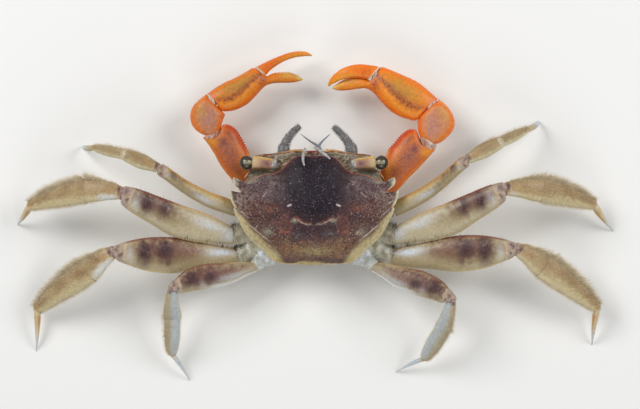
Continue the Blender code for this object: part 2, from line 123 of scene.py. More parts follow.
setUpStudio()
print("studio ready")

# Finishes: every piece carries its painted colours, and one of these adds specks, gloss and grain.

# Roughness, strength of gloss, clear wet layer, mottle depth, grain size and height in mm. Each layer of
# specks has its size in mm, colour, share of cells that carry one, strength, and whether it follows the
# stipple painted on the piece.
finishes = {
    "shell": {"rough": 0.5, "gloss": 0.22, "wet": 0.02, "mottle": 0.24, "grain": 0.2, "bump": 0.034,
        "specks": [(0.2, (202, 186, 176), 0.5, 0.76, True), (0.23, (152, 138, 156), 0.4, 0.52, False),
            (0.18, (160, 92, 62), 0.4, 0.35, True)]},
    "horn": {"rough": 0.4, "gloss": 0.3, "wet": 0.08, "mottle": 0.16, "grain": 0.17, "bump": 0.026,
        "specks": [(0.14, (84, 30, 40), 0.85, 0.95, True), (0.12, (246, 186, 126), 0.45, 0.45, True),
            (0.16, (190, 84, 40), 0.35, 0.3, False)]},
    "leg": {"rough": 0.42, "gloss": 0.32, "wet": 0.08, "mottle": 0.15, "grain": 0.16, "bump": 0.012,
        "specks": [(0.16, (92, 44, 40), 0.75, 0.85, True), (0.16, (112, 88, 62), 0.3, 0.28, False)]},
    "belly": {"rough": 0.45, "gloss": 0.35, "wet": 0.06, "mottle": 0.28, "grain": 0.2, "bump": 0.026,
        "specks": [(0.16, (110, 92, 72), 0.5, 0.5, False), (0.2, (230, 226, 212), 0.45, 0.6, True)]},
    "skin": {"rough": 0.4, "gloss": 0.4, "wet": 0.15, "mottle": 0.2, "grain": 0.12, "bump": 0.016,
        "specks": [(0.24, (110, 62, 70), 0.4, 0.55, True), (0.15, (210, 208, 204), 0.35, 0.35, False)]},
    "cornea": {"rough": 0.22, "gloss": 0.45, "wet": 0.2, "mottle": 0.06, "grain": 0.06, "bump": 0.001,
        "specks": []},
    "hair": {"rough": 0.55, "gloss": 0.3, "wet": 0.0, "mottle": 0.2, "grain": 0.3, "bump": 0.0,
        "specks": []},
}
materials = {}


def finish(name):
    # The painted colours, broken up by soft mottling and fine specks, with a fine grain to the surface.
    if name in materials:
        return materials[name]
    f = finishes[name]
    material = bpy.data.materials.new(name)
    material.use_nodes = True
    nodes, links = material.node_tree.nodes, material.node_tree.links
    shader = nodes["Principled BSDF"]
    shader.inputs["Roughness"].default_value = f["rough"]
    shader.inputs["Specular IOR Level"].default_value = f["gloss"]
    shader.inputs["Coat Weight"].default_value = f["wet"]
    shader.inputs["Coat Roughness"].default_value = 0.18

    def made(kind, inputs, **settings):
        # A node with its settings and its inputs: other nodes' outputs are linked and plain values set.
        node = nodes.new("ShaderNode" + kind)
        for key, value in settings.items():
            setattr(node, key, value)
        for key, value in inputs.items():
            if isinstance(value, bpy.types.NodeSocket):
                links.new(value, node.inputs[key])
            else:
                node.inputs[key].default_value = value
        return node

    def spread(value, low, high, first, last):
        inputs = {"From Min": low, "From Max": high, "To Min": first, "To Max": last, "Value": value}
        return made("MapRange", inputs).outputs["Result"]

    def noise(size, detail, low, high, to):
        inputs = {"Scale": 1 / size, "Detail": detail, "Roughness": 0.65, "Vector": inMm}
        return spread(made("TexNoise", inputs).outputs["Fac"], low, high, *to)

    def combined(a, b, operation="MULTIPLY"):
        return made("Math", {0: a, 1: b}, operation=operation).outputs["Value"]

    paint = made("Attribute", {}, attribute_name="paint")
    place = made("TexCoord", {})
    inMm = made("Mapping", {"Vector": place.outputs["Object"], "Scale": (1000, 1000, 1000)})
    inMm = inMm.outputs["Vector"]
    mottling = noise(f["grain"] * 2.2, 4.0, 0.3, 0.7, (1 - f["mottle"], 1 + f["mottle"]))
    colour = made("Mix", {"A": paint.outputs["Color"], "B": mottling, "Factor": 1.0},
        data_type="RGBA", blend_type="MULTIPLY").outputs["Result"]
    for size, speckTone, share, strength, follows in f["specks"]:
        cells = made("TexVoronoi", {"Vector": inMm, "Scale": 1 / size})
        parts = made("SeparateColor", {"Color": cells.outputs["Color"]})
        smaller = combined(parts.outputs["Green"], 0.28)  # each dot has a size of its own
        dot = spread(combined(cells.outputs["Distance"], smaller, "ADD"), 0.22, 0.54, 1.0, 0.0)
        dot = combined(dot, spread(parts.outputs["Red"], 1 - share, 1.05 - share * 0.5, 0.0, 1.0))
        gather = paint.outputs["Alpha"] if follows else noise(size * 5, 2.0, 0.3, 0.62, (0.15, 1.0))
        cover = combined(combined(dot, gather), strength)
        colour = made("Mix", {"A": colour, "B": (*tone(*speckTone), 1), "Factor": cover},
            data_type="RGBA").outputs["Result"]
    links.new(colour, shader.inputs["Base Color"])
    if f["bump"] > 0:
        grains = made("TexVoronoi", {"Vector": inMm, "Scale": 1 / f["grain"]}).outputs["Distance"]
        bump = made("Bump", {"Height": grains, "Distance": f["bump"] * mm, "Strength": 1.0}, invert=True)
        links.new(bump.outputs["Normal"], shader.inputs["Normal"])
    materials[name] = material
    return material


# Shapes and colours on grids of points.

def smoothThrough(xs, ys, at):
    # A smooth curve through listed values: cubic spans, level where the values turn, so that none
    # overshoots.
    xs, ys = np.asarray(xs, float), np.asarray(ys, float)
    rise = np.diff(ys) / np.diff(xs)
    slope = np.concatenate([[rise[0]], (rise[1:] + rise[:-1]) / 2, [rise[-1]]])
    turns = np.concatenate([[False], rise[1:] * rise[:-1] <= 0, [False]])
    slope = np.where(turns, 0, slope)
    k = np.clip(np.searchsorted(xs, at, side="right") - 1, 0, len(xs) - 2)
    span = xs[k + 1] - xs[k]
    t = np.clip((at - xs[k]) / span, 0, 1)
    return ((2 * t**3 - 3 * t**2 + 1) * ys[k] + (t**3 - 2 * t**2 + t) * span * slope[k]
        + (3 * t**2 - 2 * t**3) * ys[k + 1] + (t**3 - t**2) * span * slope[k + 1])


def curveThrough(points, at):
    # A smooth path through points, at shares 0 to 1 of its length: cubic spans with slopes from the
    # neighbours.
    points = np.asarray(points, float)
    steps = np.linalg.norm(np.diff(points, axis=0), axis=1)
    xs = np.concatenate([[0], np.cumsum(steps)]) / steps.sum()
    slope = np.gradient(points, xs, axis=0)
    k = np.clip(np.searchsorted(xs, at, side="right") - 1, 0, len(xs) - 2)
    span = (xs[k + 1] - xs[k])[..., None]
    t = ((at - xs[k])[..., None] / span).clip(0, 1)
    return ((2 * t**3 - 3 * t**2 + 1) * points[k] + (t**3 - 2 * t**2 + t) * span * slope[k]
        + (3 * t**2 - 2 * t**3) * points[k + 1] + (t**3 - t**2) * span * slope[k + 1])


def ramp(low, high, x):
    # 0 up to low and 1 from high on, with a smooth step between.
    t = ((x - low) / (high - low)).clip(0, 1)
    return t * t * (3 - 2 * t)


def fall(low, high, x):
    # 1 up to low and 0 from high on.
    return 1 - ramp(low, high, x)


def unitRows(vectors, least=0.0):
    # Each row over its own length.
    return vectors / (np.linalg.norm(vectors, axis=1)[:, None] + least)


def cloud(points, size, seed, waves=16):
    # Soft irregular values, about -1 to 1: plane sine waves in random directions, crests about a size
    # apart.
    rng = np.random.default_rng(seed)
    way = unitRows(rng.normal(size=(waves, 3)))
    length = size * rng.uniform(0.7, 1.8, waves)
    angle = np.asarray(points) @ (way * (2 * np.pi / length)[:, None]).T + rng.uniform(0, 6.28, waves)
    return np.sin(angle).sum(-1) / math.sqrt(waves / 2) / 1.4


def noises(grid, seed, fine, drift, grit):
    # Three clouds of these sizes: fine, drifting and gritty.
    return cloud(grid, fine, seed, 40), cloud(grid, drift, seed + 1), cloud(grid, grit, seed + 2, 40)


def coat(grid, colour):
    # One colour all over a grid of points.
    return np.broadcast_to(tone(*colour), grid.shape).copy()


def lay(under, colour, cover):
    # One colour laid over another, as far as it covers.
    return under + (tone(*colour) - under) * np.clip(cover, 0, 1)[..., None]


def layered(under, **layers):
    # Named layers laid over one another in order: each has its colour and how far it covers.
    for colour, cover in layers.values():
        under = lay(under, colour, cover)
    return under


def stippled(colours, amount):
    # The colours with a fourth channel, how thickly the finish's stipple lies there.
    return np.concatenate([colours, np.clip(amount, 0, 1)[..., None] + 0 * colours[..., :1]], -1)


def spot(x, y, middle, radii):
    # A soft round patch: 1 in its middle, a third at its radii.
    return np.exp(-(((x - middle[0]) / radii[0]) ** 2 + ((y - middle[1]) / radii[1]) ** 2))


def bell(x, middle, reach):
    # A soft band: 1 in its middle, a third at its reach.
    return np.exp(-((x - middle) / reach) ** 2)


def strokeCover(x, y, points, widths, soft=0.06):
    # How far a drawn line covers: 1 within its width of the line through the points, fading just outside.
    cover = np.zeros_like(x)
    for (ax, ay), (bx, by), wa, wb in zip(points, points[1:], widths, widths[1:]):
        dx, dy = bx - ax, by - ay
        t = (((x - ax) * dx + (y - ay) * dy) / (dx * dx + dy * dy)).clip(0, 1)
        gap = np.hypot(x - ax - dx * t, y - ay - dy * t) - (wa + (wb - wa) * t) / 2
        cover = np.maximum(cover, fall(-soft, soft, gap))
    return cover


def tube(grid, closeDepth=(0.0, 0.0)):
    # Points and faces, for rings joined by quads and closed by a fan at each end.
    rows, columns = grid.shape[:2]
    first, last = grid[0].mean(0), grid[-1].mean(0)
    inwards = grid[1].mean(0) - first
    outwards = grid[-2].mean(0) - last
    first = first + inwards / (np.linalg.norm(inwards) + 1e-9) * closeDepth[0]
    last = last + outwards / (np.linalg.norm(outwards) + 1e-9) * closeDepth[1]
    points = np.concatenate([grid.reshape(-1, 3), [first], [last]])
    i = np.arange(rows - 1)[:, None] * columns
    j = np.arange(columns)[None, :]
    k = (j + 1) % columns
    quads = np.stack([i + j, i + k, i + columns + k, i + columns + j], -1).reshape(-1, 4)
    j, k = j[0], k[0]
    start = np.stack([k, j, np.full(columns, rows * columns)], -1)
    base = (rows - 1) * columns
    end = np.stack([base + j, base + k, np.full(columns, rows * columns + 1)], -1)
    tris = np.concatenate([start, end])
    a, b, c, d = (points[quads[:, n]] for n in range(4))
    volume = (np.cross(a, b) * c).sum() + (np.cross(a, c) * d).sum()
    a, b, c = (points[tris[:, n]] for n in range(3))
    volume += (np.cross(a, b) * c).sum()
    if volume < 0:
        quads, tris = quads[:, ::-1], tris[:, ::-1]
    return points, quads, tris


def mirrored(grid, side):
    # The crab's left side as it is, its right side as the mirror of that in x.
    return grid * np.array([side, 1, 1])


def closedShell(grid, colours, side=1, closeDepth=(0.0, 0.0)):
    # A shell for makePiece: its points and faces, and its colours with one more for each end's middle
    # point.
    flat = colours.reshape(-1, colours.shape[-1])
    ends = colours[0].mean(0)[None], colours[-1].mean(0)[None]
    return (*tube(mirrored(grid, side), closeDepth), np.concatenate([flat, *ends]))


def makePiece(name, shells, finishName, replaced=(), uvs=None):
    # One mesh from closed shells, each (points, quads, triangles, colours).
    points, loops, counts, colours = [], [], [], []
    offset = 0
    for p, quads, tris, paint in shells:
        points.append(p)
        colours.append(paint)
        loops += [(quads + offset).ravel(), (tris + offset).ravel()]
        counts += [np.full(len(quads), 4), np.full(len(tris), 3)]
        offset += len(p)
    points, loops, counts = placed(np.concatenate(points)), np.concatenate(loops), np.concatenate(counts)
    mesh = bpy.data.meshes.new(name)
    mesh.vertices.add(len(points))
    mesh.vertices.foreach_set("co", points.ravel())
    mesh.loops.add(len(loops))
    mesh.loops.foreach_set("vertex_index", loops.astype(np.int32))
    mesh.polygons.add(len(counts))
    starts = np.concatenate([[0], np.cumsum(counts)[:-1]])
    mesh.polygons.foreach_set("loop_start", starts.astype(np.int32))
    mesh.polygons.foreach_set("use_smooth", np.ones(len(counts), bool))
    mesh.update(calc_edges=True)
    rgba = np.concatenate([c if c.shape[1] == 4 else np.pad(c, ((0, 0), (0, 1))) for c in colours])
    attribute = mesh.color_attributes.new("paint", "FLOAT_COLOR", "POINT")
    attribute.data.foreach_set("color", rgba.clip(0, 1).astype(np.float32).ravel())
    if uvs is not None:
        uvMap = mesh.uv_layers.new(name="OFBake")
        uvMap.data.foreach_set("uv", uvs[loops].astype(np.float32).ravel())
    mesh.materials.append(finish(finishName))
    piece = bpy.data.objects.new(name, mesh)
    scene.collection.objects.link(piece)
    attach(piece, "root")
    if replaced:
        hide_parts(*replaced)
    return piece


# Limb segments: a middle line with a half-width and a half-thickness, both of them vectors.

def direction(heading, rise):
    # A unit vector: heading in degrees backwards from sideways, rise in degrees above level.
    h, r = np.radians(heading), np.radians(rise)
    return np.array([np.cos(h) * np.cos(r), np.sin(h) * np.cos(r), np.sin(r)])


def unit(v):
    # A vector over its own length.
    return np.asarray(v, float) / np.linalg.norm(v)


def straightSegment(start, end, outline, width=1.0, thick=1.0, bow=0.0, arch=0.0, square=2.2):
    # A straight middle line; the outline gives share, left edge, right edge and thickness.
    start, end = np.array(start, float), np.array(end, float)
    length = np.linalg.norm(end - start)
    along = (end - start) / length
    left = unit(np.cross([0, 0, 1.0], along))
    up = np.cross(along, left)
    table = np.array(outline, float).T

    def body(share):
        a, b, c = (smoothThrough(table[0], table[n], share)[..., None] for n in (1, 2, 3))
        s = share[..., None]
        swell = 4 * s * (1 - s)
        middle = start + along * length * s + left * ((a + b) / 2 * width + bow * swell) + up * arch * swell
        return middle, left * (a - b) / 2 * width, up * c / 2 * thick

    return {"body": body, "start": start, "along": along, "up": up, "left": left, "length": length,
        "from": table[0][0], "to": table[0][-1], "square": square}


def edgedSegment(outer, inner, heights, thicks, square=2.3, tilt=0.0):
    # A segment between two drawn edges, seen from above; heights and thicknesses run along it.
    # Tilt raises the outer edge over the inner one by that share of the width.
    heights, thicks = np.array(heights, float).T, np.array(thicks, float).T

    def body(share):
        o, i = curveThrough(outer, share.clip(0, 1)), curveThrough(inner, share.clip(0, 1))
        z = smoothThrough(heights[0], heights[1], share)
        middle = np.concatenate([(o + i) / 2, z[..., None]], -1)
        half = np.concatenate([(o - i) / 2, np.zeros_like(z)[..., None]], -1)
        half[..., 2] = np.linalg.norm(half, axis=-1) * tilt
        rise = smoothThrough(thicks[0], thicks[1], share)[..., None] / 2 * np.array([0, 0, 1.0])
        return middle, half, rise

    a, b = body(np.array([0.0, 1.0]))[0]
    length = np.linalg.norm(b - a)
    along = (b - a) / length
    left = unit(np.cross([0, 0, 1.0], along))
    return {"body": body, "start": a, "along": along, "up": np.cross(along, left), "left": left,
        "length": length, "from": 0.0, "to": 1.0, "square": square}


def section(segment, angle):
    # Across and up on the segment's cross-section, -1 to 1: cosine and sine to a power that squares the
    # oval.
    p = 2 / segment["square"]
    c, s = np.cos(angle), np.sin(angle)
    return np.sign(c) * np.abs(c) ** p, np.sign(s) * np.abs(s) ** p


def onSegment(segment, share, angle, inset=0.0, relief=None):
    # Points on the surface: an oval of the segment's own width and thickness, drawn in by an inset.
    middle, half, rise = segment["body"](share)
    x, z = section(segment, angle)
    h = np.linalg.norm(half, axis=-1) + 1e-9
    r = np.linalg.norm(rise, axis=-1) + 1e-9
    out = -np.asarray(inset)
    if relief is not None:
        out = out + relief(share, x, z)
    kh = ((h + out) / h).clip(0.06, None)[..., None]
    kr = ((r + out) / r).clip(0.06, None)[..., None]
    return middle + half * kh * x[..., None] + rise * kr * z[..., None]


def segmentGrid(segment, rows, columns, startCut=None, endCut=None, lip=0.22, relief=None, dent=(0, 0)):
    # Rings from one end to the other. A cut (point, normal) slants an end; each end's rim is rounded.
    angle = 2 * np.pi * (np.arange(columns) + 0.5) / columns
    ends = []
    for share, cut in ((segment["from"], startCut), (segment["to"], endCut)):
        if cut is None:
            ends.append(np.full(columns, share))
            continue
        point, normal = np.array(cut[0], float), unit(cut[1])
        guess = np.full(columns, min(max(share, 0.0), 1.0))
        for _ in range(3):
            offset = onSegment(segment, guess, angle) - segment["start"]
            offset = offset - segment["along"] * (guess * segment["length"])[:, None]
            reach = (point - segment["start"] - offset) @ normal
            guess = (reach / (segment["length"] * (segment["along"] @ normal))).clip(guess.min() - 0.5, 1.6)
        ends.append(guess)
    t = np.linspace(0, 1, rows)[:, None]
    t = 0.45 * t + 0.55 * (0.5 - 0.5 * np.cos(np.pi * t))
    share = ends[0] + (ends[1] - ends[0]) * t
    turn = np.broadcast_to(angle, share.shape)
    inset = 0
    for rim, gap in zip(np.broadcast_to(lip, 2), (share - ends[0], ends[1] - share)):
        q = 1 - (gap * segment["length"] / rim).clip(0, 1)
        inset = inset + rim * 0.8 * (1 - np.sqrt(1 - q * q))
    grid = onSegment(segment, share, turn, inset, relief)
    x, z = section(segment, turn)
    for amount, near in ((dent[0], (1 - t) ** 8), (-dent[1], t ** 8)):
        grid = grid + segment["along"] * (amount * near * (1 - x * x))[..., None]
    return grid, share, x, z


def segmentShell(segment, side, painter, rows=64, columns=36, closeDepth=(0.25, 0.25), **cuts):
    # A segment's rings, painted and closed.
    grid, share, x, z = segmentGrid(segment, rows, columns, **cuts)
    return closedShell(grid, painter(share, x, z, grid), side, closeDepth)


def beads(position, pitch, sharp=3.0):
    # Rounded bumps in a row, one to a pitch.
    return np.abs(np.cos(np.pi * position / pitch)) ** sharp


def feelerShell(points, widths, side, colours, rows=60, columns=14, rings=0, flat=1.0):
    # Round rings along a smooth path, each square to it; joints show as narrow waists.
    s = np.linspace(0, 1, rows)
    path = curveThrough(np.array(points, float), s)
    along = unitRows(np.gradient(path, axis=0))
    across = unitRows(np.cross(along, [0, 0, 1.0]))
    up = np.cross(across, along)
    radius = smoothThrough(np.linspace(0, 1, len(widths)), widths, s) / 2
    if rings:
        radius = radius * (1 - 0.16 * np.abs(np.cos(np.pi * s * rings)) ** 12)
    for gap in (s, 1 - s):  # rounded ends
        radius = radius * np.sqrt(1 - (1 - (gap / 0.05).clip(0, 1)) ** 2).clip(0.15, 1)
    turn = 2 * np.pi * np.arange(columns) / columns
    grid = (path[:, None] + across[:, None] * (radius[:, None] * np.cos(turn))[..., None]
        + up[:, None] * (flat * radius[:, None] * np.sin(turn))[..., None])
    root, tip = colours
    c = lay(coat(grid, root), tip, s[:, None] * np.ones(columns))
    c = lay(c, (120, 112, 104), 0.3 + 0.3 * cloud(grid, 0.5, 91))
    return closedShell(grid, c, side)


# The carapace.

shell = {
    # The margin's left half in smooth runs that meet at its corners: front and orbit, outer tooth,
    # second tooth, third corner, side and rear corner, rear edge.
    "margin": [
        [(0, -6.94), (0.9, -6.98), (2.0, -6.95), (2.72, -6.72), (3.27, -6.25), (3.78, -5.7), (4.3, -5.19),
         (4.95, -4.82), (5.72, -4.68), (6.76, -4.48), (7.67, -4.1), (8.32, -3.77), (8.97, -3.63),
         (9.62, -3.72), (10.1, -4.04), (10.38, -4.26)],
        [(10.38, -4.26), (10.56, -3.85), (10.46, -3.35), (10.14, -2.99), (9.75, -2.66), (9.4, -2.28)],
        [(9.4, -2.28), (9.85, -2.3), (10.45, -2.44), (10.92, -2.54)],
        [(10.92, -2.54), (10.95, -2.1), (10.84, -1.52), (10.58, -0.85), (10.24, -0.34)],
        [(10.24, -0.34), (10.44, -0.24)],
        [(10.44, -0.24), (10.27, 0.39), (9.88, 1.17), (9.36, 2.2), (8.84, 3.12), (8.19, 3.9), (7.28, 4.68),
         (6.37, 5.46), (5.72, 6.06), (5.07, 6.62), (4.35, 6.96)],
        [(4.35, 6.96), (3.1, 7.03), (1.5, 7.04), (0, 7.03)],
    ],
    "columnsPerMm": 11.0, "rows": 120, "top": 10.28, "flat": 2.4, "steep": 0.8, "oval": (9.2, 6.6),
    "moustache": [(2.6, 1.12), (2.14, 1.24), (1.6, 1.57), (0.95, 1.83), (0.36, 1.8)],
    "ridge": [(9.85, 0.35), (8.75, 1.55), (7.55, 2.55), (6.35, 3.55), (5.75, 4.0)],
    "groove": [(4.75, -4.1), (5.1, -2.2), (4.7, -0.6), (4.4, 0.8), (4.75, 2.4), (3.9, 3.9)],
    "streaks": [((9.9, -0.2), (8.9, 0.6)), ((9.4, 0.15), (8.5, 1.0)), ((9.1, 1.3), (8.3, 1.9)),
        ((7.6, 2.5), (7.3, 2.0)), ((8.4, 2.2), (7.9, 3.0)), ((10.2, -1.2), (9.3, -0.6))],
}


def marginLine():
    # The whole margin as one closed loop of points, evenly spaced along each run.
    half = []
    for run in shell["margin"]:
        run = np.array(run, float)
        length = np.linalg.norm(np.diff(run, axis=0), axis=1).sum()
        count = max(3, round(length * shell["columnsPerMm"]))
        half.append(curveThrough(run, np.linspace(0, 1, count))[:-1])
    half = np.concatenate(half + [np.array([[0, 7.03]])])
    return np.concatenate([half, half[-2:0:-1] * [-1, 1]])


def calmReach(mx, my):
    # The margin's distance from the middle with its teeth smoothed off: the least of its neighbours along
    # the toothed stretch, then a moving average round the whole loop.
    turn = np.arctan2(my, mx)
    order = np.argsort(turn)
    even = np.linspace(-np.pi, np.pi, 721)[:-1]
    reach = np.interp(even, turn[order], np.hypot(mx, my)[order], period=2 * np.pi)
    least = np.min([np.roll(reach, n) for n in range(-22, 23)], axis=0)
    side = np.arctan2(np.sin(even), np.abs(np.cos(even)))
    toothed = ramp(-0.62, -0.45, side) * fall(-0.02, 0.12, side)
    reach = reach + (least - reach) * toothed
    reach = np.mean([np.roll(reach, n) for n in range(-9, 10)], axis=0)
    reach = np.mean([np.roll(reach, n) for n in range(-6, 7)], axis=0)
    return np.interp(turn, even, reach, period=2 * np.pi)


def marginHeight(x, y):
    # The margin is 7.3 mm up at the middle, lower backwards and lower sideways by the square.
    return 7.3 - 0.11 * y - 0.008 * x * x


shellSwellings = [  # height in mm, middle and reach from the middle line
    (-0.13, (0, -6.4), (0.55, 1.8)),  # between the two halves of the front
    (0.12, (1.5, -5.4), (0.9, 0.6)),
    (0.12, (3.1, -3.6), (1.2, 1.3)),
    (0.1, (0, -0.6), (1.8, 1.6)),
    (0.14, (6.7, -2.6), (1.5, 0.9)),
    (0.16, (6.9, 0.9), (2.0, 1.2)),
    (0.1, (1.3, 3.1), (1.2, 0.7)),
]
shellStrokes = [  # height in mm, line, widths and softness
    (-0.17, shell["groove"], [0.1] * 6, 0.4),
    (-0.13, [(x0, y0 + 0.1) for x0, y0 in shell["moustache"]], [0.1] * 5, 0.26),
    (-0.13, [(9.2, -2.0), (8.2, -1.6), (7.2, -0.9), (5.6, -0.5)], [0.1, 0.1, 0.1, 0.1], 0.3),
    (-0.1, [(9.9, -0.2), (9.0, 0.2), (8.1, 0.2)], [0.1, 0.1, 0.05], 0.24),
    (-0.1, [(0, 5.95), (3.9, 5.9)], [0.2, 0.2], 0.45),
    (0.07, shell["ridge"], [0.04] * 5, 0.09),
    (0.05, [(6.0, -2.35), (6.68, -1.65)], [0.06, 0.06], 0.09),
]


def shellRelief(x, y):
    # Low swellings and grooves of the back, in mm.
    ax = np.abs(x)
    z = 0
    for rise, middle, reach in shellSwellings:
        z = z + rise * spot(ax, y, middle, reach)
    for rise, line, widths, soft in shellStrokes:
        z += rise * strokeCover(ax, y, line, widths, soft)
    return z


shellTones = [
    # Colour, middle and reach in mm from the middle line, cover, and how far fine and grainy noise vary
    # it.
    ((74, 44, 42), (8.0, 0.4), (2.6, 1.6), 0.7, 0.2, 0.1),
    ((27, 18, 29), (0, -2.9), (4.9, 5.1), 1.5, 0, 0),
    ((104, 88, 92), (6.7, -2.8), (2.2, 1.2), 0.6, 0.35, 0.1),
    ((142, 120, 114), (5.3, -3.4), (0.55, 0.5), 0.4, 0.2, 0.4),
    ((160, 146, 132), (9.3, -1.0), (1.1, 1.3), 0.62, 0.3, 0.45),
    ((84, 42, 36), (7.4, -0.75), (2.3, 0.62), 0.75, 0.2, 0.25),
    ((48, 32, 36), (5.3, 0.95), (1.5, 0.35), 0.6, 0.2, 0.1),
    ((112, 60, 36), (5.7, -0.15), (0.9, 0.36), 0.65, 0.25, 0.35),
    ((104, 58, 42), (7.6, 0.3), (1.0, 0.35), 0.45, 0.2, 0.3),
    ((98, 62, 54), (3.62, 1.75), (0.72, 1.25), 0.95, 0.15, 0.3),
    ((164, 108, 96), (4.15, 2.85), (0.24, 0.24), 0.6, 0, 0.3),
    ((104, 80, 74), (6.2, 2.0), (1.8, 0.8), 0.5, 0.2, 0.2),
    ((122, 96, 72), (0, 4.9), (4.4, 1.0), 0.66, 0.2, 0.25),
    ((112, 84, 68), (5.4, 4.3), (1.8, 1.3), 0.5, 0.2, 0.2),
    ((56, 42, 47), (1.45, 2.95), (1.5, 0.9), 1.05, 0.1, 0),
    ((104, 98, 98), (2.0, 3.1), (0.6, 0.35), 0.7, 0.2, 0.4),
    ((84, 52, 48), (0, 3.2), (0.35, 1.0), 0.7, 0, 0),
    ((118, 72, 60), (2.0, 4.0), (1.0, 0.16), 0.7, 0.2, 0.3),
    ((62, 44, 50), (2.4, 6.45), (1.3, 0.2), 0.45, 0.3, 0.3),
    ((62, 46, 52), (5.4, 5.15), (0.9, 0.5), 0.45, 0.3, 0.3),
    ((152, 110, 70), (2.9, 4.7), (1.5, 0.5), 0.6, 0.3, 0.35),
    ((158, 130, 84), (0, 5.45), (3.9, 0.55), 0.8, 0.25, 0.3),
    ((160, 148, 104), (0, 5.25), (1.6, 0.4), 0.7, 0.2, 0.25),
    ((104, 72, 64), (4.6, 5.4), (0.8, 0.8), 0.55, 0.2, 0.2),
    ((140, 120, 88), (3.5, 3.9), (0.6, 0.4), 0.5, 0.2, 0.25),
    ((116, 84, 72), (0, 6.2), (4.2, 0.32), 0.6, 0.3, 0.3),
    ((146, 110, 84), (3.4, 5.9), (1.0, 0.45), 0.55, 0.3, 0.35),
    ((152, 148, 130), (6.0, 2.85), (0.6, 0.45), 0.75, 0.2, 0),
]


